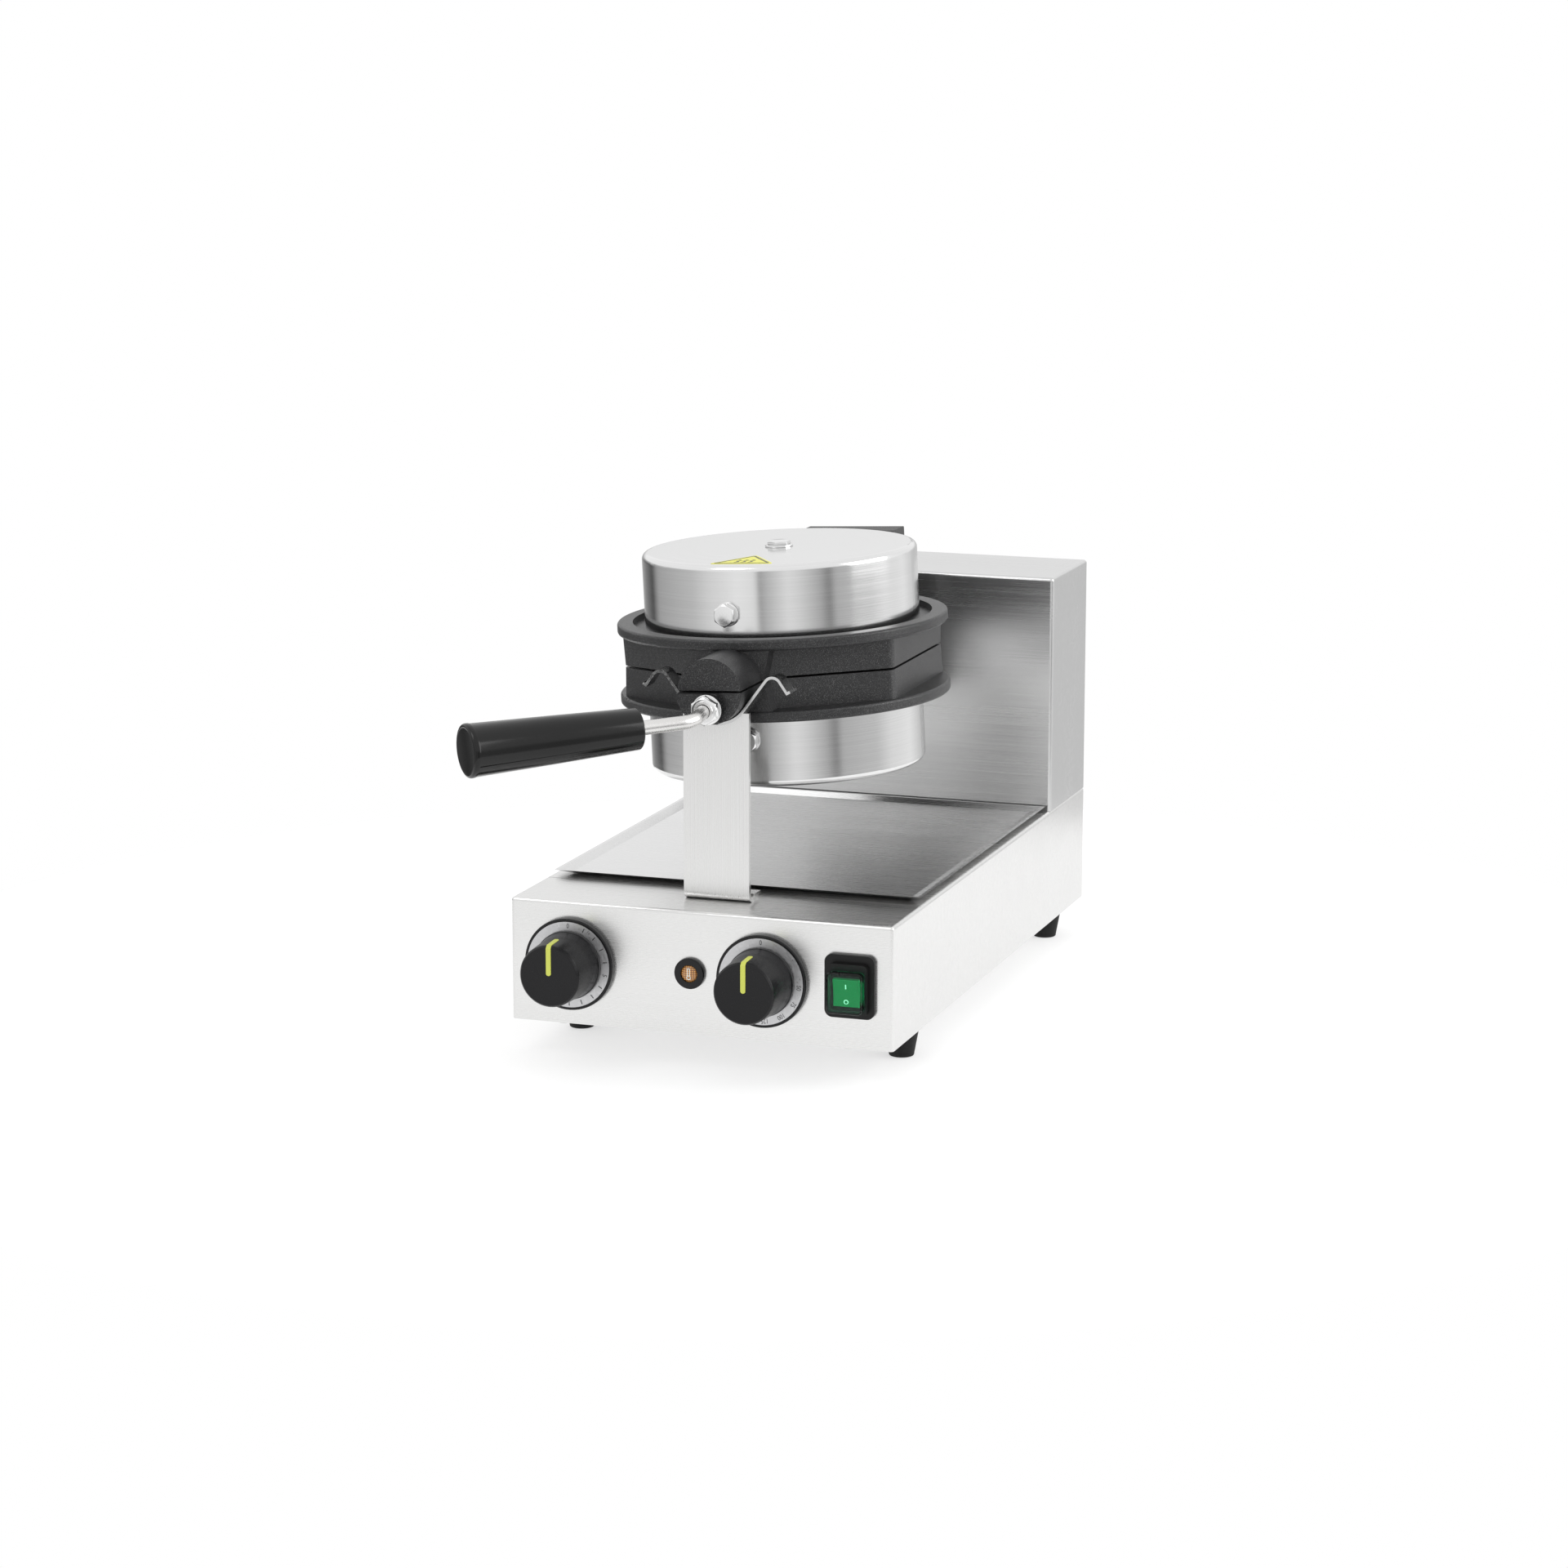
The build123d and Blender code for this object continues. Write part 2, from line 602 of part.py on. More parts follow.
def handle_grip():
    """Tapered round grip with a flat rounded end."""
    start = Vector(*GRIP_START)
    length = (Vector(*GRIP_END) - start).length
    outline = make_face(
        Polyline((0, 0), (GRIP_R_IN, 0), (GRIP_R_OUT, length), (0, length), close=True)
    )
    grip = revolve(Plane.XZ * outline, Axis.Z)
    ends = grip.edges().filter_by(GeomType.CIRCLE).sort_by(Axis.Z)
    grip = fillet(ends[-1], 2.4)
    grip = fillet(grip.edges().filter_by(GeomType.CIRCLE).sort_by(Axis.Z)[0], 1.0)
    grip -= post(ROD_R + 0.05, 0, 0, -1, 64)
    return Plane(origin=start, z_dir=Vector(*GRIP_END) - start) * grip


# Controls


def control_bezel(at):
    """Raised black ring that frames a dial."""
    bezel = rod_y(BEZEL_R, *at, FRONT - BEZEL_DEPTH, FRONT)
    bezel = fillet(bezel.edges().filter_by(GeomType.CIRCLE).group_by(Axis.Y)[0], 0.8)
    bezel -= rod_y(DIAL_R, *at, FRONT - BEZEL_DEPTH - 1, FRONT - BEZEL_DEPTH + 0.8)
    return bezel - rod_y(5.0, *at, FRONT - 10, FRONT + 1)


def control_dial(at):
    """Thin scale ring set in the bezel."""
    back = FRONT - BEZEL_DEPTH + 0.8
    return ring_y(DIAL_R - 0.05, DIAL_IN_R, *at, back - 1.0, back)


def knob_outline(grow):
    """Half section of a knob as (radius, height above the panel), grown outwards."""
    return [
        (21.7 + grow, KNOB_BACK),
        (21.7 + grow, KNOB_BACK + 3.2),
        (20.6 + grow, KNOB_BACK + 9.0),
        (19.7 + grow, KNOB_FRONT - 1.8 + grow),
        (18.2 + grow, KNOB_FRONT + grow),
    ]


def knob_blank(grow):
    """Solid of revolution of a knob, its axis along Y and its face to the front."""
    points = [(0, KNOB_BACK)] + knob_outline(grow) + [(0, KNOB_FRONT + grow)]
    face = make_face(Polyline(*points, close=True))
    solid = revolve(Plane.XZ * face, Axis.Z)
    return Rot(90, 0, 0) * solid


def control_knob(at):
    """Round control knob with a bore for its shaft."""
    x, z = at
    knob = Pos(x, FRONT, z) * knob_blank(0)
    return knob - rod_y(CONTROL_SHAFT_R + 0.02, x, z, FRONT - 26, FRONT)


def knob_pointer(at):
    """Coloured line let onto the knob from the middle of its face over its edge."""
    x, z = at
    line = knob_blank(0.5) & block(-1.5, 1.5, -KNOB_FRONT - 2, -KNOB_BACK - 10, 0, 25)
    return Pos(x, FRONT, z) * (line - knob_blank(0))


def control_shaft(at):
    """Shaft that a knob turns."""
    return rod_y(CONTROL_SHAFT_R, *at, FRONT - 25, FRONT + 11)


def timer_body():
    """Clockwork timer behind the panel."""
    x, z = TIMER_AT
    body = block(x - 22, x + 22, FRONT + 1.5, FRONT + 46, z - 22, z + 22)
    return body - rod_y(CONTROL_SHAFT_R + RUNNING_GAP, x, z, FRONT, FRONT + 12)


def thermostat_body():
    """Thermostat behind the panel, with its terminals."""
    x, z = THERMOSTAT_AT
    body = block(x - 20, x + 20, FRONT + 1.5, FRONT + 32, z - 18, z + 18)
    for offset in (-10, 0, 10):
        body += block(x + offset - 3, x + offset + 3, FRONT + 31, FRONT + 41, z - 0.5, z + 0.5)
    return body - rod_y(CONTROL_SHAFT_R + RUNNING_GAP, x, z, FRONT, FRONT + 12)


def lamp_bezel():
    """Black ring and body of the indicator lamp."""
    x, z = LAMP_AT
    ring = rod_y(9.8, x, z, FRONT - 3.0, FRONT)
    ring = fillet(ring.edges().filter_by(GeomType.CIRCLE).group_by(Axis.Y)[0], 1.0)
    ring += rod_y(6.0, x, z, FRONT, FRONT + 24)
    return ring - rod_y(5.5, x, z, FRONT - 5, FRONT - 0.8)


def lamp_lens():
    """Low domed lens."""
    x, z = LAMP_AT
    dome = Pos(x, FRONT - 0.8 + 12.8, z) * Sphere(15.6)
    return dome & rod_y(5.45, x, z, FRONT - 6, FRONT - 0.8)


def rounded_block(at, width, height, corner, y0, y1):
    """Block with rounded upright corners, seen from the front."""
    x, z = at
    solid = block(x - width / 2, x + width / 2, y0, y1, z - height / 2, z + height / 2)
    return fillet(solid.edges().filter_by(Axis.Y), corner)


def switch_housing():
    """Black frame of the power switch and its body behind the panel."""
    frame = rounded_block(SWITCH_AT, 32.0, 39.6, 5.0, FRONT - 3.0, FRONT)
    frame += rounded_block((SWITCH_AT[0] + 0.1, SWITCH_AT[1] - 1.0), 24.6, 31.6, 3.0, FRONT - 7, FRONT)
    frame += block(
        SWITCH_AT[0] - 12, SWITCH_AT[0] + 12, FRONT, FRONT + 26, SWITCH_AT[1] - 14.5, SWITCH_AT[1] + 14.5
    )
    return frame - rounded_block(COVER_AT, 21.4, 24.4, 2.0, FRONT - 9, FRONT + 10)


def switch_cover():
    """Clear green splash cover over the rocker."""
    cover = rounded_block(COVER_AT, 22.8, 25.8, 2.6, FRONT - 13.6, FRONT - 7)
    cover = fillet(cover.edges().group_by(Axis.Y)[0], 1.4)
    return cover - rounded_block(COVER_AT, 20.4, 23.4, 1.6, FRONT - 12.6, FRONT - 6)


def switch_rocker():
    """Rocker that tips about a level axis, its lower end pressed."""
    x, z = COVER_AT
    outline = [(-2, -8.6), (-5.4, -8.6), (-4.6, 0), (-5.4, 8.6), (-2, 8.6), (3, 4), (3, -4)]
    rocker = side_plate(outline, -8.1, 8.1)
    return Pos(x, FRONT - 3.4, z) * Rot(ROCKER_TILT, 0, 0) * rocker


# Wiring


def terminal_block():
    """Six-way terminal block on the bottom plate."""
    z0 = FOOT_HEIGHT + SHEET
    strip = block(40, 100, 150, 172, z0, z0 + 18)
    for way in range(6):
        x = 45 + way * 10
        strip -= post(2.5, x, 155, z0 + 8, z0 + 19) + post(2.5, x, 167, z0 + 8, z0 + 19)
    return strip


def wiring_loom():
    """Bundle of wires from the terminal block up to the rotor shaft."""
    top_y = REAR - 60
    path = FilletPolyline(
        (70, 173, 34), (70, 200, 34), (0, top_y, 50), (0, top_y, BASE_TOP + 40), radius=14
    )
    return sweep(Plane(path @ 0, z_dir=path % 0) * Circle(4.5), path)


def parts():
    """Every sub-part by name, in its rest pose."""
    upper_shapes = {
        "heating_element": heating_element(),
        "element_clamp": element_clamp(),
        "insulation": insulation(),
        "drum_cover": drum_cover(),
        "cover_bolt": cover_bolt(),
        "side_bolt": side_bolt(),
        "hinge_pin": hinge_pin(),
    }
    shapes = {
        "base_shell": base_shell(),
        "bottom_plate": bottom_plate(),
        "foot_screws": foot_screws(),
        "plate_screws": plate_screws(),
        "cable_gland": cable_gland(),
        "drip_tray": drip_tray(),
        "tower_shell": tower_shell(),
        "tower_rear_cover": tower_rear_cover(),
        "cover_screws": cover_screws(),
        "bearing_stand": bearing_stand(),
        "bearing_block": bearing_block(),
        "bearing_bush": bearing_bush(),
        "front_bracket": front_bracket(),
        "bracket_screws": bracket_screws(),
        "cradle_spring": cradle_spring(),
        "upper_baking_plate": place_iron(upper_baking_plate()),
        "lower_baking_plate": place_iron(lower_baking_plate()),
        "thermostat_bulb": place_iron(thermostat_bulb()),
        "rotor_yoke": place_iron(rotor_yoke()),
        "stop_collar": place_iron(stop_collar()),
        "handle_rod": place_iron(handle_rod()),
        "handle_nut": place_iron(handle_nut()),
        "handle_grip": place_iron(handle_grip()),
        "timer_body": timer_body(),
        "thermostat_body": thermostat_body(),
        "lamp_bezel": lamp_bezel(),
        "lamp_lens": lamp_lens(),
        "switch_housing": switch_housing(),
        "switch_cover": switch_cover(),
        "switch_rocker": switch_rocker(),
        "terminal_block": terminal_block(),
        "wiring_loom": wiring_loom(),
    }
    for name, shape in upper_shapes.items():
        shapes["upper_" + name] = place_iron(shape)
        shapes["lower_" + name] = place_iron(lower(shape))
    for name, at in FEET.items():
        shapes[name] = foot(*at)
    for name, at in (("timer", TIMER_AT), ("thermostat", THERMOSTAT_AT)):
        shapes[name + "_bezel"] = control_bezel(at)
        shapes[name + "_dial"] = control_dial(at)
        shapes[name + "_knob"] = control_knob(at)
        shapes[name + "_pointer"] = knob_pointer(at)
        shapes[name + "_shaft"] = control_shaft(at)
    return shapes


def main():
    os.makedirs("parts", exist_ok=True)
    for name, shape in parts().items():
        export_step(shape, f"parts/{name}.step")


main()
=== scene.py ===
"""Rotating waffle maker: finishes, fine pieces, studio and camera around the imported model."""

import json
import logging
import math
from collections.abc import Callable, Sequence
from dataclasses import dataclass
from enum import Enum

import bpy
from mathutils import Matrix, Vector

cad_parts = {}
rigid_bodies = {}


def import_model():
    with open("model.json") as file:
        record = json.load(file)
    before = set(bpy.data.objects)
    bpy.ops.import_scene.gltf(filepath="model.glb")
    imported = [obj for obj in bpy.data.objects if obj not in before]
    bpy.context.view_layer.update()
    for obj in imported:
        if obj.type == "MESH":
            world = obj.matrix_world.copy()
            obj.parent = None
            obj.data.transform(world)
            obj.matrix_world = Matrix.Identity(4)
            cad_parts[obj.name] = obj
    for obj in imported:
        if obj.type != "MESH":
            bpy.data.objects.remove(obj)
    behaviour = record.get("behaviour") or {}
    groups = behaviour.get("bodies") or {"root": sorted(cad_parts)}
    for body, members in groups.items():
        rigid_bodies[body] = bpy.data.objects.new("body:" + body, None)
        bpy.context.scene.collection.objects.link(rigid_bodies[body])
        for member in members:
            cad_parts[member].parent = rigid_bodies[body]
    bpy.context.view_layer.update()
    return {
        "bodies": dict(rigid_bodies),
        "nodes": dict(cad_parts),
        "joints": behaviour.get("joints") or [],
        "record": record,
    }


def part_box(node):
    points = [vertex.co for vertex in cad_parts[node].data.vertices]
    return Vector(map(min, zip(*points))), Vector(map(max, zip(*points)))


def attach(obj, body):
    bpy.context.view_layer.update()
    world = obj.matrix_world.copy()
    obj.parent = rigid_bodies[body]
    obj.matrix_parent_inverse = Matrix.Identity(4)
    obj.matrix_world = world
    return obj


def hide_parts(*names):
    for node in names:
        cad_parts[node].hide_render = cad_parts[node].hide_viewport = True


LOG = logging.getLogger("waffle_maker")
MM = 0.001
Colour = tuple[float, float, float]
Profile = Sequence[tuple[float, float]]
INK: Colour = (0.012, 0.012, 0.012)
FIRST_MINUTE = 24.6
MINUTE_STEP = 19.3
FIRST_HEAT = 94.4
HEAT_STEP = 26.6


class Grain(Enum):
    """Direction in which a sheet was brushed."""

    ACROSS = (3.0, 900.0, 900.0)
    UPRIGHT = (900.0, 900.0, 3.0)
    AROUND = (900.0, 3.0, 900.0)


class Select(Enum):
    """What a selection made by place picks out, as Blender's select mode."""

    POINT = (True, False, False)
    EDGE = (False, True, False)
    FACE = (False, False, True)


# Modelling by hand


def leave_edit() -> None:
    """Returns to object mode with nothing selected."""
    if bpy.context.object is not None and bpy.context.object.mode != "OBJECT":
        bpy.ops.object.mode_set(mode="OBJECT")
    bpy.ops.object.select_all(action="DESELECT")


def pick(obj: bpy.types.Object) -> None:
    """Makes an object the only selected one, and active."""
    leave_edit()
    obj.select_set(True)
    bpy.context.view_layer.objects.active = obj


def named(name: str) -> bpy.types.Object:
    """Names the active object and its mesh, and returns it."""
    obj = bpy.context.object
    obj.name = name
    obj.data.name = name
    return obj


def settle(obj: bpy.types.Object, place: Matrix | None = None) -> bpy.types.Object:
    """Moves an object to a place and writes that place into its mesh.

    Args:
        obj: The piece.
        place: The move from where it is, or None to leave it there.

    Returns:
        The piece, its origin at the world's origin.
    """
    pick(obj)
    if place is not None:
        obj.matrix_world = place @ obj.matrix_world
    bpy.ops.object.transform_apply(location=True, rotation=True, scale=True)
    return obj


def choose(obj: bpy.types.Object, kind: Select, test: Callable[[Vector, Vector], bool]) -> None:
    """Selects faces or edges by place and enters edit mode.

    Args:
        obj: The piece.
        kind: Faces or edges.
        test: Takes a face's centre and normal, or an edge's middle and direction.
    """
    pick(obj)
    bpy.context.tool_settings.mesh_select_mode = kind.value
    mesh = obj.data
    for part in (mesh.vertices, mesh.edges, mesh.polygons):
        part.foreach_set("select", [False] * len(part))
    if kind is Select.FACE:
        for face in mesh.polygons:
            face.select = test(face.center, face.normal)
    else:
        for edge in mesh.edges:
            a, b = (mesh.vertices[i].co for i in edge.vertices)
            if test((a + b) / 2, (b - a).normalized()):
                edge.select = True
    bpy.ops.object.mode_set(mode="EDIT")


def apply_modifier(obj: bpy.types.Object, kind: str, **settings: object) -> None:
    """Adds one modifier with its settings and applies it."""
    pick(obj)
    modifier = obj.modifiers.new(kind.title(), kind)
    for key, value in settings.items():
        setattr(modifier, key, value)
    bpy.ops.object.modifier_apply(modifier=modifier.name)


def ease_edges(obj: bpy.types.Object, width: float, steps: int = 3, angle: float = 30.0) -> None:
    """Rounds every edge sharper than an angle.

    Args:
        obj: The piece.
        width: Width of the round, in metres.
        steps: Faces across the round.
        angle: Sharpness that counts as an edge, in degrees.
    """
    apply_modifier(
        obj,
        "BEVEL",
        width=width,
        segments=steps,
        limit_method="ANGLE",
        angle_limit=math.radians(angle),
    )
    smooth(obj)


def smooth(obj: bpy.types.Object, angle: float = 35.0) -> None:
    """Shades a piece smooth, apart from its sharp edges."""
    pick(obj)
    bpy.ops.object.shade_smooth_by_angle(angle=math.radians(angle))


def tidy_shell(obj: bpy.types.Object) -> None:
    """Merges doubled points and turns every face outwards."""
    choose(obj, Select.FACE, lambda centre, normal: True)
    bpy.ops.mesh.remove_doubles(threshold=1e-6)
    bpy.ops.mesh.normals_make_consistent(inside=False)
    leave_edit()


def lone_point(name: str) -> bpy.types.Object:
    """Starts a mesh that is one selected point at the origin, in edit mode."""
    leave_edit()
    bpy.context.tool_settings.mesh_select_mode = Select.POINT.value
    bpy.ops.mesh.primitive_plane_add(size=MM)
    obj = named(name)
    bpy.ops.object.mode_set(mode="EDIT")
    bpy.ops.mesh.select_all(action="SELECT")
    bpy.ops.mesh.merge(type="CENTER")
    return obj


def draw_line(points: Sequence[Vector]) -> None:
    """Carries the selected point to the first point, in millimetres, and draws a line through the rest."""
    here = Vector((0.0, 0.0, 0.0))
    for number, point in enumerate(points):
        step = {"value": (point - here) * MM}
        if number == 0:
            bpy.ops.transform.translate(**step)
        else:
            bpy.ops.mesh.extrude_region_move(TRANSFORM_OT_translate=step)
        here = point


def turned(name: str, profile: Profile, steps: int = 64) -> bpy.types.Object:
    """Turns a profile about the Z axis.

    Args:
        name: Name of the piece.
        profile: Closed outline as (radius, height), in millimetres.
        steps: Faces round the axis.

    Returns:
        The turned piece, with clean outward faces.
    """
    obj = lone_point(name)
    draw_line([Vector((radius, 0, height)) for radius, height in profile])
    bpy.ops.mesh.select_all(action="SELECT")
    bpy.ops.mesh.spin(steps=steps, angle=math.tau, center=(0, 0, 0), axis=(0, 0, 1))
    tidy_shell(obj)
    return obj


def hex_head(name: str, across: float, height: float) -> bpy.types.Object:
    """Hexagon head standing on the XY plane, its top corners cut round by a cone.

    Args:
        name: Name of the piece.
        across: Width across flats, in millimetres.
        height: Height, in millimetres.

    Returns:
        The head.
    """
    corner = across / math.sqrt(3)
    cone = turned(
        "cutter",
        [
            (0, -1),
            (corner + 1, -1),
            (corner + 1, height - 0.58 * (corner + 1 - across * 0.47)),
            (across * 0.47, height),
            (0, height),
        ],
        48,
    )
    leave_edit()
    bpy.ops.mesh.primitive_cylinder_add(
        vertices=6, radius=corner * MM, depth=height * MM, location=(0, 0, height * MM / 2)
    )
    head = named(name)
    settle(head)
    apply_modifier(head, "BOOLEAN", operation="INTERSECT", object=cone, solver="EXACT")
    bpy.data.objects.remove(cone)
    ease_edges(head, 0.25 * MM, 2, 20)
    return head


def joined(name: str, pieces: Sequence[bpy.types.Object]) -> bpy.types.Object:
    """Joins several pieces into one mesh."""
    leave_edit()
    for piece in pieces:
        piece.select_set(True)
    bpy.context.view_layer.objects.active = pieces[0]
    bpy.ops.object.join()
    return named(name)


def lettering(text: str, size: float, place: Matrix, squeeze: float = 1.0) -> bpy.types.Object:
    """Printed figures as a thin mesh.

    Args:
        text: The figures.
        size: Height of the type, in millimetres.
        place: Where its middle goes, facing local +Z.
        squeeze: Width of the type against its height.

    Returns:
        The figures, settled in place.
    """
    leave_edit()
    bpy.ops.object.text_add()
    obj = bpy.context.object
    obj.data.body = text
    obj.data.size = size * MM
    obj.data.align_x = "CENTER"
    obj.data.align_y = "CENTER"
    obj.data.extrude = 0.04 * MM
    obj.data.resolution_u = 4
    bpy.ops.object.convert(target="MESH")
    obj = bpy.context.object
    return settle(obj, place @ Matrix.Diagonal((squeeze, 1, 1, 1)))


def slab(size: Sequence[float], place: Matrix, ease: float = 0.0) -> bpy.types.Object:
    """Thin printed bar or plate, a cube drawn out to size with eased edges, in millimetres."""
    leave_edit()
    bpy.ops.mesh.primitive_cube_add(size=MM)
    obj = bpy.context.object
    obj.scale = size
    settle(obj)
    if ease:
        choose(obj, Select.EDGE, lambda middle, way: abs(way.z) > 0.9)
        bpy.ops.mesh.bevel(offset=ease * MM, segments=4, affect="EDGES")
    return settle(obj, place)


# Shader node boards


@dataclass
class Board:
    """A node tree with short ways to add and join its nodes."""

    tree: bpy.types.NodeTree

    def add(self, kind: str, **settings: object) -> bpy.types.Node:
        """Adds a node and sets its properties."""
        node = self.tree.nodes.new(kind)
        for key, value in settings.items():
            setattr(node, key, value)
        return node

    def join(self, source: bpy.types.NodeSocket, target: bpy.types.NodeSocket) -> None:
        """Joins an output to an input."""
        self.tree.links.new(source, target)

    def maths(self, operation: str, first: object, second: object = None) -> bpy.types.NodeSocket:
        """A sum of one or two sockets or numbers, and its result."""
        node = self.add("ShaderNodeMath", operation=operation)
        for socket, value in zip(node.inputs, (first, second)):
            if isinstance(value, bpy.types.NodeSocket):
                self.join(value, socket)
            elif value is not None:
                socket.default_value = value
        return node.outputs[0]

    def noise(self, vector: object, scale: float, detail: float = 2.0) -> bpy.types.NodeSocket:
        """Soft noise from 0 to 1 on a vector socket."""
        node = self.add("ShaderNodeTexNoise")
        node.inputs["Scale"].default_value = scale
        node.inputs["Detail"].default_value = detail
        self.join(vector, node.inputs["Vector"])
        return node.outputs[0]

    def spread(self, value: object, low: float, high: float, out: tuple[float, float]) -> object:
        """Carries a value from one range to another, clamped."""
        node = self.add("ShaderNodeMapRange")
        self.join(value, node.inputs["Value"])
        for key, number in zip(("From Min", "From Max", "To Min", "To Max"), (low, high, *out)):
            node.inputs[key].default_value = number
        return node.outputs[0]

    def blend(self, mask: object, first: Colour, second: Colour) -> bpy.types.NodeSocket:
        """Mixes two colours by a mask."""
        node = self.add("ShaderNodeMix", data_type="RGBA")
        self.join(mask, node.inputs[0])
        node.inputs[6].default_value = (*first, 1.0)
        node.inputs[7].default_value = (*second, 1.0)
        return node.outputs[2]

    def bump(self, height: object, distance: float, strength: float) -> bpy.types.NodeSocket:
        """Normal from a height, its distance in metres."""
        node = self.add("ShaderNodeBump")
        node.inputs["Distance"].default_value = distance
        node.inputs["Strength"].default_value = strength
        self.join(height, node.inputs["Height"])
        return node.outputs[0]


def group(name: str, inputs: Sequence[str], outputs: Sequence[str]) -> tuple[Board, object, object]:
    """Starts a shader node group; an input or output named Vector carries a vector.

    Args:
        name: Name of the group.
        inputs: Names of its inputs.
        outputs: Names of its outputs.

    Returns:
        Its board, its input node's outputs and its output node's inputs.
    """
    tree = bpy.data.node_groups.new(name, "ShaderNodeTree")
    for way, names in (("INPUT", inputs), ("OUTPUT", outputs)):
        for label in names:
            kind = "NodeSocketVector" if label == "Vector" else "NodeSocketFloat"
            tree.interface.new_socket(name=label, in_out=way, socket_type=kind)
    board = Board(tree)
    return board, board.add("NodeGroupInput").outputs, board.add("NodeGroupOutput").inputs


class Groups:
    """The node groups that several finishes share, each built once."""

    def __init__(self) -> None:
        """Builds every group."""
        self.streaks = self._streaks()
        self.round = self._round()
        self.speckle = self._speckle()
        self.dots = self._dots()

    @staticmethod
    def _streaks() -> bpy.types.NodeTree:
        """Brush lines along the vector's slow direction, and soft patches."""
        board, given, made = group("brush_streaks", ("Vector", "Fineness"), ("Streak", "Cloud"))
        fine = board.add("ShaderNodeTexNoise")
        fine.inputs["Detail"].default_value = 2.0
        board.join(given["Vector"], fine.inputs["Vector"])
        board.join(given["Fineness"], fine.inputs["Scale"])
        coarse = board.noise(given["Vector"], 0.22, 1.0)
        thin = board.maths("MULTIPLY", fine.outputs[0], 0.82)
        wide = board.maths("MULTIPLY", coarse, 0.18)
        board.join(board.maths("ADD", thin, wide), made["Streak"])
        board.join(board.noise(given["Vector"], 0.03, 1.0), made["Cloud"])
        return board.tree

    @staticmethod
    def _round() -> bpy.types.NodeTree:
        """Turns a centred vector into radius, angle and height."""
        board, given, made = group("round_places", ("Vector",), ("Vector",))
        split = board.add("ShaderNodeSeparateXYZ")
        board.join(given["Vector"], split.inputs[0])
        x, y, z = split.outputs
        squares = board.maths("ADD", board.maths("MULTIPLY", x, x), board.maths("MULTIPLY", y, y))
        together = board.add("ShaderNodeCombineXYZ")
        board.join(board.maths("SQRT", squares), together.inputs[0])
        board.join(board.maths("MULTIPLY", board.maths("ARCTAN2", y, x), 0.09), together.inputs[1])
        board.join(z, together.inputs[2])
        board.join(together.outputs[0], made["Vector"])
        return board.tree

    @staticmethod
    def _speckle() -> bpy.types.NodeTree:
        """Fine grains, wider pits and soft patches of a cast or moulded surface."""
        board, given, made = group("speckle", ("Vector", "Size"), ("Grain", "Pits", "Patches"))
        grain = board.add("ShaderNodeTexNoise")
        grain.inputs["Detail"].default_value = 3.0
        board.join(given["Vector"], grain.inputs["Vector"])
        board.join(given["Size"], grain.inputs["Scale"])
        board.join(grain.outputs[0], made["Grain"])
        pits = board.add("ShaderNodeTexVoronoi")
        board.join(given["Vector"], pits.inputs["Vector"])
        board.join(board.maths("MULTIPLY", given["Size"], 0.55), pits.inputs["Scale"])
        board.join(pits.outputs["Distance"], made["Pits"])
        board.join(board.noise(given["Vector"], 22.0), made["Patches"])
        return board.tree

    @staticmethod
    def _dots() -> bpy.types.NodeTree:
        """A square grid of round dots in the vector's X and Z."""
        board, given, made = group("dot_grid", ("Vector", "Pitch"), ("Dot",))
        split = board.add("ShaderNodeSeparateXYZ")
        board.join(given["Vector"], split.inputs[0])
        squares = []
        for axis in (0, 2):
            turns = board.maths("DIVIDE", split.outputs[axis], given["Pitch"])
            away = board.maths("SUBTRACT", board.maths("FRACT", turns), 0.5)
            squares.append(board.maths("MULTIPLY", away, away))
        distance = board.maths("SQRT", board.maths("ADD", *squares))
        board.join(board.spread(distance, 0.22, 0.46, (1.0, 0.0)), made["Dot"])
        return board.tree

    def place(self, board: Board, tree: bpy.types.NodeTree, vector: object, **values: float) -> object:
        """Places a group on a material's board and returns its outputs."""
        node = board.add("ShaderNodeGroup", node_tree=tree)
        board.join(vector, node.inputs["Vector"])
        for key, value in values.items():
            node.inputs[key].default_value = value
        return node.outputs


@dataclass(frozen=True)
class Sheen:
    """Values that are the same all over a finish, set on the shader's own sockets."""

    metallic: float = 0.0
    coat: float = 0.0
    coat_roughness: float = 0.1
    anisotropy: float = 0.0
    transmission: float = 0.0
    ior: float = 1.5
    glow: float = 0.0
    specular: float = 0.5


def start_material(name: str, sheen: Sheen) -> tuple[bpy.types.Material, Board, object, object]:
    """Starts a material with its shader and object coordinates.

    Args:
        name: Name of the finish.
        sheen: Values for the shader.

    Returns:
        The material, its board, the shader's inputs and the coordinate socket.
    """
    material = bpy.data.materials.new(name)
    material.use_nodes = True
    board = Board(material.node_tree)
    shader = material.node_tree.nodes["Principled BSDF"].inputs
    shader["Metallic"].default_value = sheen.metallic
    shader["Coat Weight"].default_value = sheen.coat
    shader["Coat Roughness"].default_value = sheen.coat_roughness
    shader["Anisotropic"].default_value = sheen.anisotropy
    shader["Transmission Weight"].default_value = sheen.transmission
    shader["IOR"].default_value = sheen.ior
    shader["Emission Strength"].default_value = sheen.glow
    shader["Specular IOR Level"].default_value = sheen.specular
    return material, board, shader, board.add("ShaderNodeTexCoord").outputs["Object"]


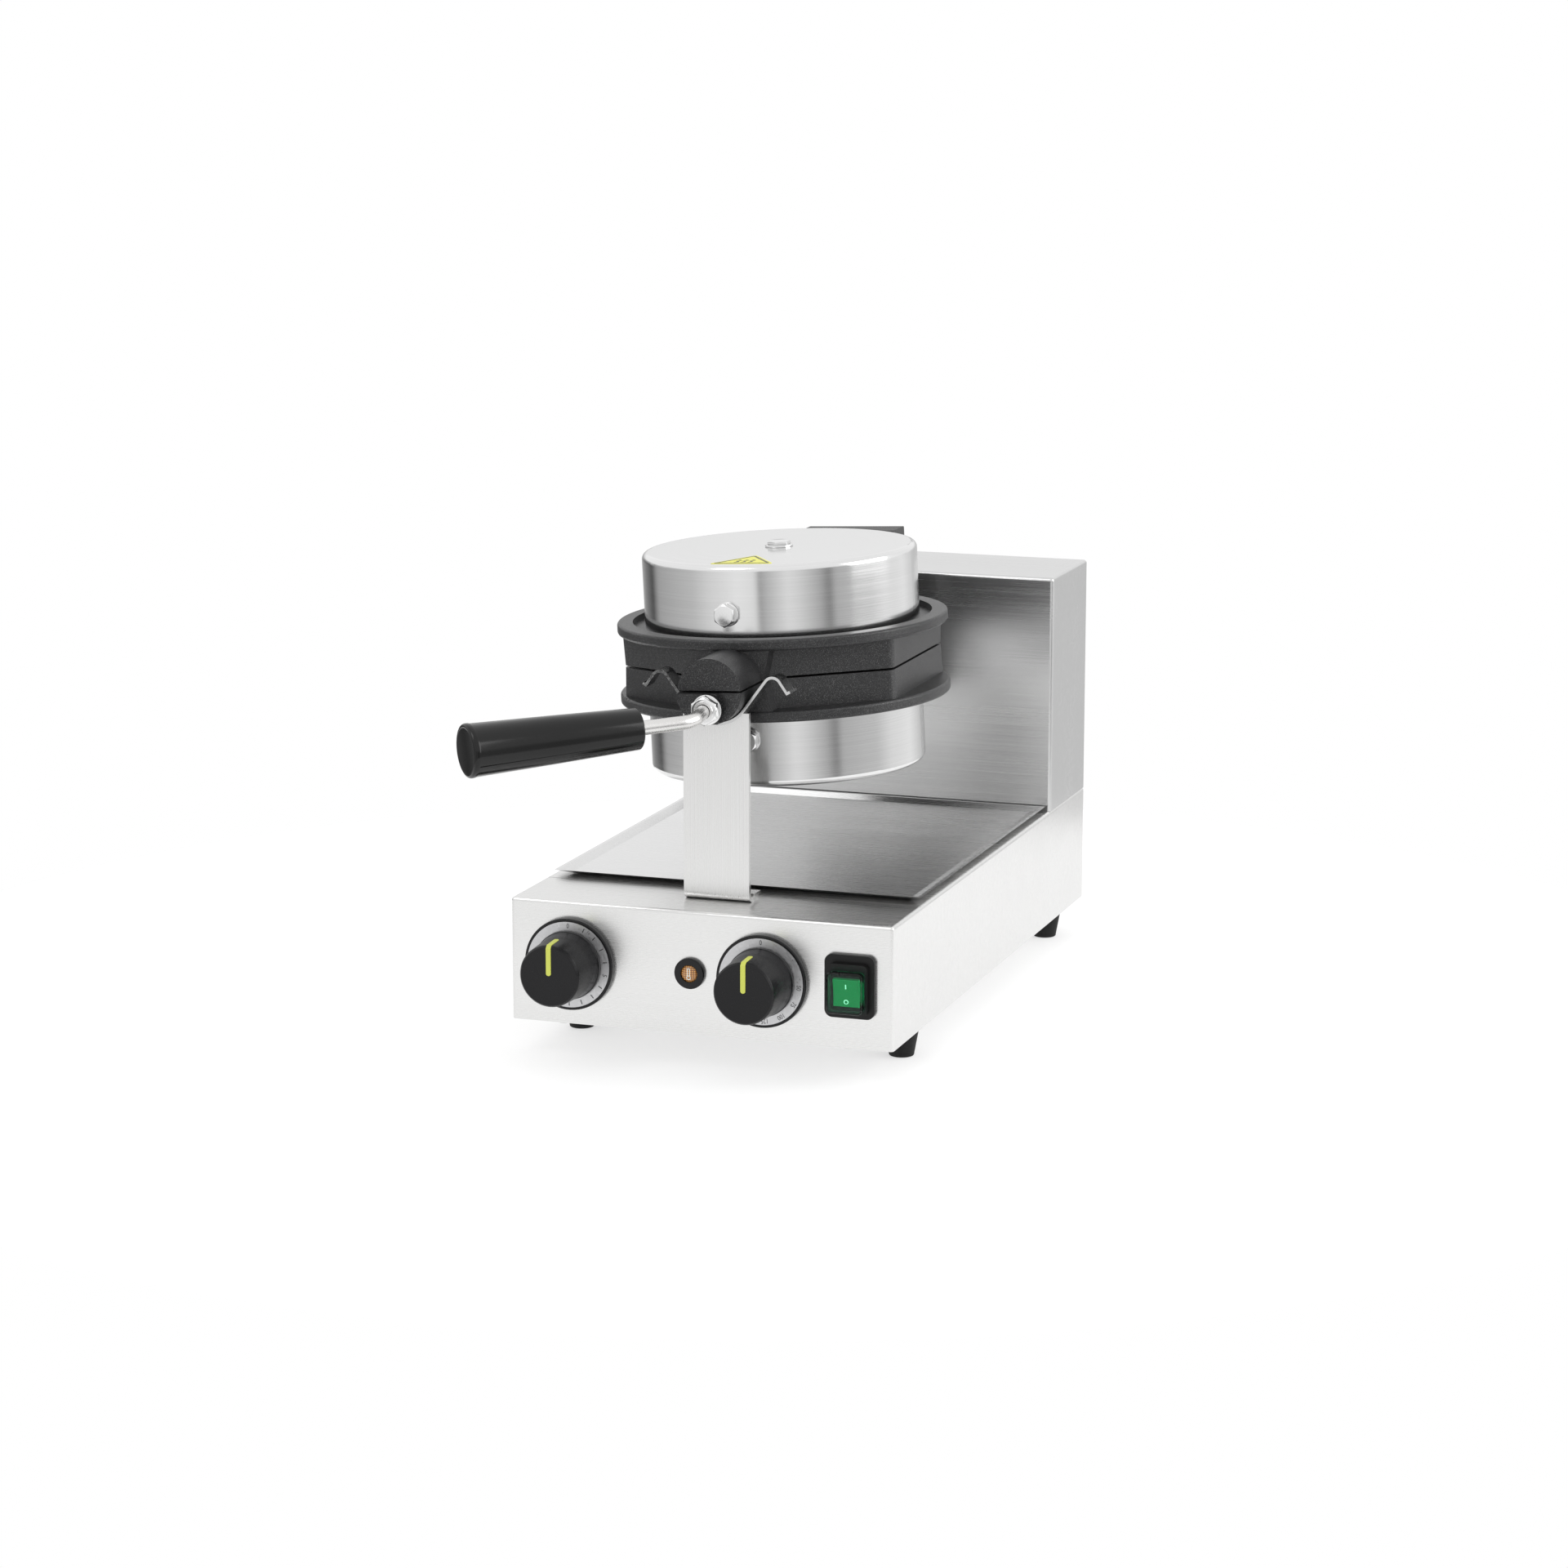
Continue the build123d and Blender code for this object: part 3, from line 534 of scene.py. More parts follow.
@dataclass(frozen=True)
class BrushedSteel:
    """Stainless sheet with fine brush lines."""

    name: str
    tone: Colour
    roughness: float
    grain: Grain
    contrast: float = 0.12
    depth: float = 0.000006
    centre: Matrix | None = None

    def make(self, groups: Groups) -> bpy.types.Material:
        """Builds the material, its lines along the grain or round the centre."""
        material, board, shader, where = start_material(self.name, Sheen(metallic=1.0))
        if self.centre is not None:
            centred = board.add("ShaderNodeMapping", vector_type="TEXTURE")
            centred.inputs["Location"].default_value = self.centre.translation
            centred.inputs["Rotation"].default_value = self.centre.to_euler()
            board.join(where, centred.inputs["Vector"])
            where = groups.place(board, groups.round, centred.outputs[0])["Vector"]
        stretched = board.add("ShaderNodeMapping")
        stretched.inputs["Scale"].default_value = self.grain.value
        board.join(where, stretched.inputs["Vector"])
        lines = groups.place(board, groups.streaks, stretched.outputs[0], Fineness=2.6)
        dark = tuple(channel * (1 - self.contrast) for channel in self.tone)
        light = tuple(min(1.0, channel * (1 + self.contrast * 0.6)) for channel in self.tone)
        tone = board.spread(lines["Streak"], 0.3, 0.7, (0.0, 1.0))
        board.join(board.blend(tone, dark, light), shader["Base Color"])
        rough = board.maths("ADD", lines["Streak"], board.maths("MULTIPLY", lines["Cloud"], 0.5))
        span = (self.roughness * 0.8, self.roughness * 1.25)
        board.join(board.spread(rough, 0.45, 1.05, span), shader["Roughness"])
        board.join(board.bump(lines["Streak"], self.depth, 0.5), shader["Normal"])
        return material


@dataclass(frozen=True)
class PlainMetal:
    """Plated, drawn or cast metal with faint handling marks."""

    name: str
    tone: Colour
    roughness: float
    mark: float = 0.06

    def make(self, groups: Groups) -> bpy.types.Material:
        """Builds the material."""
        material, board, shader, where = start_material(self.name, Sheen(metallic=1.0))
        marks = groups.place(board, groups.speckle, where, Size=900.0)
        worn = tuple(channel * (1 - 2 * self.mark) for channel in self.tone)
        patches = board.spread(marks["Patches"], 0.35, 0.65, (0.0, 1.0))
        board.join(board.blend(patches, worn, self.tone), shader["Base Color"])
        span = (self.roughness * 0.75, self.roughness * 1.35)
        board.join(board.spread(marks["Grain"], 0.3, 0.7, span), shader["Roughness"])
        board.join(board.bump(marks["Grain"], 0.000003, 0.3), shader["Normal"])
        return material


@dataclass(frozen=True)
class CastIron:
    """Seasoned cast iron with a sand-cast skin."""

    name: str
    tone: Colour
    light: Colour
    roughness: float
    relief: float

    def make(self, groups: Groups) -> bpy.types.Material:
        """Builds the material: dark skin, lighter grains on top, pits between."""
        material, board, shader, where = start_material(self.name, Sheen(metallic=0.25, specular=0.6))
        skin = groups.place(board, groups.speckle, where, Size=3000.0)
        tops = board.spread(skin["Grain"], 0.54, 0.72, (0.0, 1.0))
        patches = board.spread(skin["Patches"], 0.3, 0.7, (0.45, 1.0))
        worn = board.maths("MULTIPLY", tops, patches)
        board.join(board.blend(worn, self.tone, self.light), shader["Base Color"])
        span = (self.roughness * 1.1, self.roughness * 0.8)
        board.join(board.spread(skin["Grain"], 0.35, 0.7, span), shader["Roughness"])
        height = board.maths("ADD", skin["Grain"], board.maths("MULTIPLY", skin["Pits"], 0.8))
        board.join(board.bump(height, self.relief, 0.8), shader["Normal"])
        return material


@dataclass(frozen=True)
class Moulded:
    """Moulded plastic, rubber or paint with a fine skin."""

    name: str
    tone: Colour
    roughness: float
    relief: float = 0.00001
    size: float = 1400.0
    variation: float = 0.2
    sheen: Sheen = Sheen()

    def make(self, groups: Groups) -> bpy.types.Material:
        """Builds the material."""
        material, board, shader, where = start_material(self.name, self.sheen)
        skin = groups.place(board, groups.speckle, where, Size=self.size)
        dark = tuple(channel * (1 - self.variation) for channel in self.tone)
        patches = board.spread(skin["Patches"], 0.3, 0.7, (0.0, 1.0))
        board.join(board.blend(patches, dark, self.tone), shader["Base Color"])
        span = (self.roughness * 0.85, min(1.0, self.roughness * 1.2))
        board.join(board.spread(skin["Grain"], 0.3, 0.7, span), shader["Roughness"])
        board.join(board.bump(skin["Grain"], self.relief, 0.5), shader["Normal"])
        if self.sheen.glow:
            shader["Emission Color"].default_value = (*self.tone, 1.0)
        return material


@dataclass(frozen=True)
class Dotted:
    """Lit or clear plastic with a grid of small round facets."""

    name: str
    ground: Colour
    dot: Colour
    pitch: float
    roughness: float
    sheen: Sheen = Sheen()

    def make(self, groups: Groups) -> bpy.types.Material:
        """Builds the material."""
        material, board, shader, where = start_material(self.name, self.sheen)
        dots = groups.place(board, groups.dots, where, Pitch=self.pitch)["Dot"]
        colour = board.blend(dots, self.ground, self.dot)
        board.join(colour, shader["Base Color"])
        board.join(board.spread(dots, 0.0, 1.0, (self.roughness * 1.5, self.roughness)), shader["Roughness"])
        board.join(board.bump(dots, 0.00012, 0.6), shader["Normal"])
        if self.sheen.glow:
            board.join(colour, shader["Emission Color"])
        return material


@dataclass
class Workshop:
    """What every sub-assembly is built with: the frame, the finishes and the iron's rest place."""

    frame: dict
    groups: Groups
    finishes: dict[str, bpy.types.Material]
    level: Matrix

    def joint(self, name: str) -> dict:
        """A joint of the frame by name."""
        return next(joint for joint in self.frame["joints"] if joint["name"] == name)

    def finish(self, recipe: object) -> bpy.types.Material:
        """Makes a finish once and remembers it by name."""
        if recipe.name not in self.finishes:
            self.finishes[recipe.name] = recipe.make(self.groups)
        return self.finishes[recipe.name]

    def dress(self, recipe: object, *nodes: str) -> None:
        """Gives carried-over nodes a finish."""
        material = self.finish(recipe)
        for name in nodes:
            node = self.frame["nodes"][name]
            if not node.material_slots:
                node.data.materials.append(material)
            for place in node.material_slots:
                place.material = material
            LOG.info("dressed %s in %s", name, material.name)

    def fit(
        self,
        piece: bpy.types.Object,
        recipe: object,
        body: str,
        replaces: Sequence[str] = (),
    ) -> None:
        """Finishes a new piece and hangs it on its body.

        Args:
            piece: The piece, settled in place.
            recipe: Its finish.
            body: The body it moves with.
            replaces: Nodes that it stands for.
        """
        piece.data.materials.clear()
        piece.data.materials.append(self.finish(recipe))
        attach(piece, body)
        if replaces:
            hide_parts(*replaces)
        LOG.info("fitted %s on %s, %d faces", piece.name, body, len(piece.data.polygons))


# Finishes of this appliance

PLATED = PlainMetal("bright_plating", (0.86, 0.86, 0.86), 0.16)
SATIN_ROD = PlainMetal("satin_rod", (0.78, 0.77, 0.76), 0.26)
POLISHED_SPRING = PlainMetal("polished_spring", (0.60, 0.60, 0.60), 0.17, 0.03)
DULL = Sheen(specular=0.28)
BLACK_PLASTIC = Moulded("knob_black", (0.007, 0.007, 0.008), 0.3, 0.000003, sheen=Sheen(specular=0.26))
BEZEL_BLACK = Moulded("bezel_black", (0.008, 0.008, 0.009), 0.25, 0.00001, sheen=DULL)
SWITCH_BLACK = Moulded("switch_black", (0.006, 0.006, 0.006), 0.4, 0.00002, sheen=DULL)
GRIP_BLACK = Moulded("grip_black", (0.006, 0.006, 0.006), 0.16, 0.000006, 700.0, sheen=Sheen(specular=0.35))
RUBBER = Moulded("foot_rubber", (0.006, 0.006, 0.006), 0.6, 0.00003, 1000.0, sheen=DULL)
POINTER_YELLOW = Moulded("pointer_yellow", (0.60, 0.64, 0.10), 0.4, 0.000006, variation=0.06)
LABEL_YELLOW = Moulded("label_yellow", (0.80, 0.78, 0.07), 0.36, 0.000004, variation=0.05)
LABEL_INK = Moulded("label_ink", (0.10, 0.10, 0.04), 0.4, 0.000004)
SCALE_INK = Moulded("scale_ink", INK, 0.5, 0.000004)
WHITE_PRINT = Moulded("white_print", (0.85, 0.9, 0.86), 0.45, 0.000004, variation=0.03)
BRIGHT_PRINT = Moulded(
    "bright_print", (0.9, 0.95, 0.9), 0.45, 0.000004, variation=0.02, sheen=Sheen(glow=0.7)
)
BRONZE = PlainMetal("bearing_bronze", (0.62, 0.38, 0.17), 0.3)
SHEATH = PlainMetal("element_sheath", (0.22, 0.19, 0.17), 0.48)
WOOL = Moulded("mineral_wool", (0.62, 0.55, 0.36), 0.95, 0.0005, 320.0, 0.35)
WORKS_PLASTIC = Moulded("works_plastic", (0.50, 0.49, 0.45), 0.5)
WIRE = Moulded("wire_insulation", (0.10, 0.10, 0.11), 0.5)


@dataclass
class Studio:
    """Pale floor, soft light all round and the camera."""

    camera_at: Vector = Vector((0.87945, -2.55792, 0.70952))
    pitch: float = 11.7216
    yaw: float = 18.9955
    lens: float = 98.073
    floor_radius: float = 0.66
    sky: float = 1.0

    def lay_floor(self, groups: Groups) -> None:
        """Round pale floor that glows evenly."""
        leave_edit()
        bpy.ops.mesh.primitive_circle_add(
            vertices=128, radius=self.floor_radius, fill_type="NGON", location=(0, 0, -0.0003)
        )
        floor = named("studio_floor")
        paper = Moulded(
            "studio_paper", (0.5, 0.5, 0.5), 0.8, 0.00002, 400.0, 0.01, Sheen(glow=1.1, specular=0.1)
        )
        floor.data.materials.append(paper.make(groups))

    def light_sky(self) -> None:
        """Even bright sky, with darker upright bands low down that steel can mirror."""
        world = bpy.data.worlds.new("studio_sky")
        bpy.context.scene.world = world
        world.use_nodes = True
        board = Board(world.node_tree)
        way = board.add("ShaderNodeTexCoord").outputs["Generated"]
        split = board.add("ShaderNodeSeparateXYZ")
        board.join(way, split.inputs[0])
        yaw = math.radians(self.yaw)
        turn = []
        for across, along in ((math.cos(yaw), math.sin(yaw)), (math.sin(yaw), -math.cos(yaw))):
            turn.append(
                board.maths(
                    "ADD",
                    board.maths("MULTIPLY", split.outputs[0], across),
                    board.maths("MULTIPLY", split.outputs[1], along),
                )
            )
        angle = board.maths("DIVIDE", board.maths("ARCTAN2", *turn), math.tau)
        bands = board.add("ShaderNodeValToRGB")
        board.join(board.maths("ADD", angle, 0.5), bands.inputs[0])
        panels = (
            (-180, 0.62), (-158, 0.30), (-135, 0.08), (-124, 0.42), (-78, 0.60), (-62, 0.78),
            (-36, 0.97), (-21, 0.90), (-17, 0.34), (-13, 0.52), (6, 0.88), (14, 0.80),
            (33, 0.48), (41, 0.24), (47, 0.52), (80, 0.60), (96, 0.84), (124, 0.96),
            (150, 0.62), (180, 0.62),
        )
        stops = bands.color_ramp.elements
        for degrees, level in panels[1:-1]:
            stops.new(0.5 + degrees / 360).color = (level, level, level, 1)
        for stop, (degrees, level) in ((stops[0], panels[0]), (stops[-1], panels[-1])):
            stop.color = (level, level, level, 1)
        low = board.spread(split.outputs[2], 0.0, 0.16, (1.0, 0.0))
        mixed = board.add("ShaderNodeMix", data_type="RGBA")
        board.join(low, mixed.inputs[0])
        mixed.inputs[6].default_value = (self.sky, self.sky, self.sky, 1)
        board.join(bands.outputs[0], mixed.inputs[7])
        seen = board.add("ShaderNodeMix", data_type="RGBA")
        board.join(board.add("ShaderNodeLightPath").outputs["Is Camera Ray"], seen.inputs[0])
        board.join(mixed.outputs[2], seen.inputs[6])
        seen.inputs[7].default_value = (1, 1, 1, 1)
        board.join(seen.outputs[2], world.node_tree.nodes["Background"].inputs["Color"])

    def hang_lamp(self, name: str, at: Vector, size: tuple[float, float], power: float) -> None:
        """Hangs one soft box that points at the appliance."""
        leave_edit()
        bpy.ops.object.light_add(type="AREA", location=at)
        lamp = bpy.context.object
        lamp.name = name
        lamp.data.shape = "RECTANGLE"
        lamp.data.size, lamp.data.size_y = size
        lamp.data.energy = power
        lamp.rotation_euler = (Vector((0, 0, 0.12)) - at).to_track_quat("-Z", "Y").to_euler()

    def place_camera(self) -> None:
        """Places the camera and makes it the scene's."""
        leave_edit()
        pose = (math.radians(90 - self.pitch), 0, math.radians(self.yaw))
        bpy.ops.object.camera_add(location=self.camera_at, rotation=pose)
        camera = bpy.context.object
        camera.name = "studio_camera"
        camera.data.lens = self.lens
        camera.data.sensor_width = 36.0
        camera.data.clip_start = 0.05
        bpy.context.scene.camera = camera
        bpy.context.scene.view_settings.view_transform = "Standard"

    def build(self, groups: Groups) -> None:
        """Builds the whole studio."""
        self.lay_floor(groups)
        self.light_sky()
        self.hang_lamp("key_box", Vector((-0.9, -1.3, 1.9)), (0.9, 0.9), 5)
        self.hang_lamp("side_box", Vector((1.6, 0.25, 0.75)), (1.3, 1.2), 12)
        self.place_camera()


@dataclass
class Housing:
    """Base, tower, tray, bracket and feet."""

    tone: Colour = (0.755, 0.753, 0.747)
    roughness: float = 0.27

    def build(self, shop: Workshop) -> None:
        """Dresses the sheet-metal work."""
        sheet = BrushedSteel("housing_steel", self.tone, self.roughness, Grain.ACROSS, 0.04)
        # The tower is the base's steel with a lower tone: painted shade that makes its faces duller than the
        # base.
        tower = BrushedSteel("tower_steel_painted_shade", (0.66, 0.66, 0.66), 0.24, Grain.ACROSS, 0.06)
        upright = BrushedSteel("bracket_steel", self.tone, 0.27, Grain.UPRIGHT, 0.045)
        tray = BrushedSteel("tray_steel", (0.74, 0.74, 0.74), 0.26, Grain.ACROSS, 0.04)
        shop.dress(sheet, "base_shell", "bottom_plate")
        shop.dress(tower, "tower_shell", "tower_rear_cover", "bearing_stand")
        shop.dress(upright, "front_bracket")
        shop.dress(tray, "drip_tray")
        shop.dress(PLATED, "foot_screws", "plate_screws", "cover_screws", "bracket_screws")
        shop.dress(POLISHED_SPRING, "cradle_spring")
        shop.dress(RUBBER, "foot_front_left", "foot_front_right", "foot_rear_left", "foot_rear_right")
        shop.dress(SWITCH_BLACK, "cable_gland")


@dataclass
class Works:
    """What lies inside the housing."""

    def build(self, shop: Workshop) -> None:
        """Dresses the inner pieces."""
        cast = CastIron("bearing_casting", (0.05, 0.05, 0.05), (0.14, 0.14, 0.14), 0.55, 0.00008)
        shop.dress(cast, "bearing_block", "rotor_yoke")
        shop.dress(BRONZE, "bearing_bush")
        shop.dress(PLATED, "stop_collar", "upper_hinge_pin", "lower_hinge_pin")
        shop.dress(SATIN_ROD, "timer_shaft", "thermostat_shaft", "thermostat_bulb")
        shop.dress(WORKS_PLASTIC, "timer_body", "thermostat_body", "terminal_block")
        shop.dress(WIRE, "wiring_loom")
        shop.dress(SHEATH, "upper_heating_element", "lower_heating_element")
        shop.dress(SATIN_ROD, "upper_element_clamp", "lower_element_clamp")
        shop.dress(WOOL, "upper_insulation", "lower_insulation")


@dataclass
class Control:
    """A knob on its dial: a turned knob, its pointer and the figures round it."""

    name: str
    joint: str
    figures: dict[float, str]
    ticks: Sequence[float]
    skirt: float = 21.7
    face: float = 18.4
    back: float = 4.8
    front: float = 37.0
    figure_radius: float = 24.6
    surface: float = 0.0

    def panel_place(self) -> Matrix:
        """Place on the panel: local +Z points out of it, local +Y up."""
        low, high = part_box(f"{self.name}_dial")
        middle = (low + high) / 2
        self.surface = low.y
        spot = Matrix.Translation((middle.x, 0, middle.z))
        return spot @ Matrix.Rotation(math.pi / 2, 4, "X")

    def make_knob(self) -> bpy.types.Object:
        """Turned knob with a flared skirt, an eased face and a blind bore."""
        profile = [
            (3.05, self.back),
            (self.skirt, self.back),
            (self.skirt, self.back + 2.6),
            (self.skirt - 0.5, self.back + 3.4),
            (self.skirt - 1.1, self.back + 9.0),
            (self.skirt - 2.0, self.front - 2.4),
            (self.skirt - 2.3, self.front - 1.2),
            (self.skirt - 3.1, self.front - 0.35),
            (self.face, self.front),
            (self.face - 0.9, self.front - 0.12),
            (0, self.front - 0.12),
            (0, 26.0),
            (3.05, 26.0),
            (3.05, self.back),
        ]
        knob = turned(f"{self.name}_knob_turned", profile, 72)
        ease_edges(knob, 0.22 * MM, 2, 14)
        return knob

    def make_pointer(self) -> bpy.types.Object:
        """Raised line from the middle of the face over its edge and down the side."""
        run = [(0.6, self.front), (self.face - 0.6, self.front), (self.skirt - 2.2, self.front - 1.9),
               (self.skirt - 1.62, self.back + 17.5)]
        line = lone_point(f"{self.name}_pointer_line")
        draw_line([Vector((0, radius, height)) for radius, height in run])
        bpy.ops.mesh.select_all(action="SELECT")
        bpy.ops.mesh.extrude_region_move(TRANSFORM_OT_translate={"value": (3.2 * MM, 0, 0)})
        bpy.ops.mesh.select_all(action="SELECT")
        bpy.ops.transform.translate(value=(-1.6 * MM, 0, 0))
        bpy.ops.mesh.normals_make_consistent(inside=False)
        leave_edit()
        choose(line, Select.FACE, lambda centre, normal: normal.z < -0.5)
        bpy.ops.mesh.flip_normals()
        ends = (run[0][0] * MM, run[-1][0] * MM)
        leave_edit()
        bpy.context.tool_settings.mesh_select_mode = Select.POINT.value
        pick(line)
        for vertex in line.data.vertices:
            vertex.select = min(abs(vertex.co.y - end) for end in ends) < 1e-5
        bpy.ops.object.mode_set(mode="EDIT")
        bpy.ops.mesh.bevel(offset=1.45 * MM, segments=5, affect="VERTICES")
        leave_edit()
        apply_modifier(line, "SOLIDIFY", thickness=0.9 * MM, offset=0.0)
        ease_edges(line, 0.16 * MM, 2, 40)
        return line

    def make_scale(self, place: Matrix) -> bpy.types.Object:
        """Figures and ticks set round the dial."""
        marks = []
        lift = Matrix.Translation((0, 0, -self.surface + 0.02 * MM))
        for angle, text in self.figures.items():
            turn = Matrix.Rotation(-math.radians(angle), 4, "Z")
            spot = Matrix.Translation((0, self.figure_radius * MM, 0))
            marks.append(lettering(text, 4.3, place @ lift @ turn @ spot, 0.8))
        for angle in self.ticks:
            turn = Matrix.Rotation(-math.radians(angle), 4, "Z")
            spot = Matrix.Translation((0, (self.figure_radius + 0.1) * MM, 0))
            marks.append(slab((0.55, 2.8, 0.08), place @ lift @ turn @ spot))
        return joined(f"{self.name}_scale", marks)

    def build(self, shop: Workshop) -> None:
        """Builds and fits the control."""
        place = self.panel_place()
        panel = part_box("base_shell")[0].y
        stand = place @ Matrix.Translation((0, 0, -panel))
        ring = PlainMetal("dial_metal", (0.58, 0.58, 0.59), 0.35, 0.015)
        shop.dress(BEZEL_BLACK, f"{self.name}_bezel")
        shop.dress(ring, f"{self.name}_dial")
        knob = settle(self.make_knob(), stand)
        shop.fit(knob, BLACK_PLASTIC, self.joint, [f"{self.name}_knob"])
        pointer = settle(self.make_pointer(), stand)
        shop.fit(pointer, POINTER_YELLOW, self.joint, [f"{self.name}_pointer"])
        shop.fit(self.make_scale(place), SCALE_INK, "base")


@dataclass
class PanelLamp:
    """Amber lamp in a black ring."""

    pitch: float = 0.00135

    def build(self, shop: Workshop) -> None:
        """Dresses the ring, turns a faceted lens and prints a small tube mark on it."""
        shop.dress(BEZEL_BLACK, "lamp_bezel")
        low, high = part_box("lamp_lens")
        middle = (low + high) / 2
        radius, rise = (high.x - low.x) / 2 / MM, (high.y - low.y) / MM
        place = Matrix.Translation((middle.x, high.y, middle.z)) @ Matrix.Rotation(math.pi / 2, 4, "X")
        crown = [(radius * math.cos(a), rise * (0.3 + 0.7 * math.sin(a))) for a in (0, 0.4, 0.8, 1.2)]
        lens = turned("lamp_lens_faceted", [(0, 0), (radius, 0), *crown, (0, rise), (0, 0)], 48)
        smooth(lens, 40)
        amber = Dotted(
            "lamp_amber", (0.16, 0.06, 0.015), (0.60, 0.30, 0.09), self.pitch, 0.16,
            Sheen(coat=0.6, glow=0.22),
        )
        shop.fit(settle(lens, place), amber, "base", ["lamp_lens"])
        top = Matrix.Translation((0, 0, (rise + 0.02) * MM))
        leave_edit()
        bpy.ops.mesh.primitive_torus_add(
            major_radius=1.15 * MM, minor_radius=0.26 * MM, major_segments=28, minor_segments=8
        )
        bulb = settle(bpy.context.object, place @ top @ Matrix.Translation((0, -2.3 * MM, -0.25 * MM)))
        stems = [
            slab((0.42, 4.6, 0.3), place @ top @ Matrix.Translation((x * MM, 1.1 * MM, -0.1 * MM)), 0.18)
            for x in (-0.75, 0.75)
        ]
        cap = slab((1.9, 0.42, 0.3), place @ top @ Matrix.Translation((0, 3.4 * MM, -0.1 * MM)), 0.18)
        shop.fit(joined("lamp_mark", [bulb, *stems, cap]), WHITE_PRINT, "base")


@dataclass
class PowerSwitch:
    """Black frame, clear green cover and a dotted green rocker."""

    tilt: float = 6.0
    marks: tuple[tuple[float, float], ...] = ((4.3, 3.2), (-5.6, 1.25))

    def build(self, shop: Workshop) -> None:
        """Builds and fits the switch."""
        shop.dress(SWITCH_BLACK, "switch_housing")
        cover = Moulded(
            "cover_green", (0.42, 0.90, 0.68), 0.04, 0.000002, 300.0, 0.02,
            Sheen(transmission=1.0, ior=1.3),
        )
        shop.dress(cover, "switch_cover")
        green = Dotted(
            "rocker_green", (0.0, 0.13, 0.045), (0.0, 0.34, 0.12), 0.0009, 0.35,
            Sheen(glow=0.5, specular=0.2),
        )
        shop.dress(green, "switch_rocker")
        pivot = Vector(shop.joint("rocker_tip")["pos_m"])
        spot = Matrix.Translation(pivot) @ Matrix.Rotation(math.radians(self.tilt), 4, "X")
        (bar_up, bar_height), (ring_up, ring_radius) = self.marks
        marks = []
        for up in (bar_up, ring_up):
            face = 4.6 + 0.8 * abs(up) / 8.6
            place = spot @ Matrix.Translation((0, -face * MM, up * MM)) @ Matrix.Rotation(math.pi / 2, 4, "X")
            if up == bar_up:
                marks.append(slab((0.7, bar_height, 0.24), place, 0.1))
            else:
                leave_edit()
                bpy.ops.mesh.primitive_torus_add(
                    major_radius=ring_radius * MM, minor_radius=0.3 * MM, major_segments=32, minor_segments=8
                )
                ring = bpy.context.object
                ring.scale = (1, 1, 0.5)
                marks.append(settle(ring, place))
        shop.fit(joined("rocker_marks", marks), BRIGHT_PRINT, "rocker")


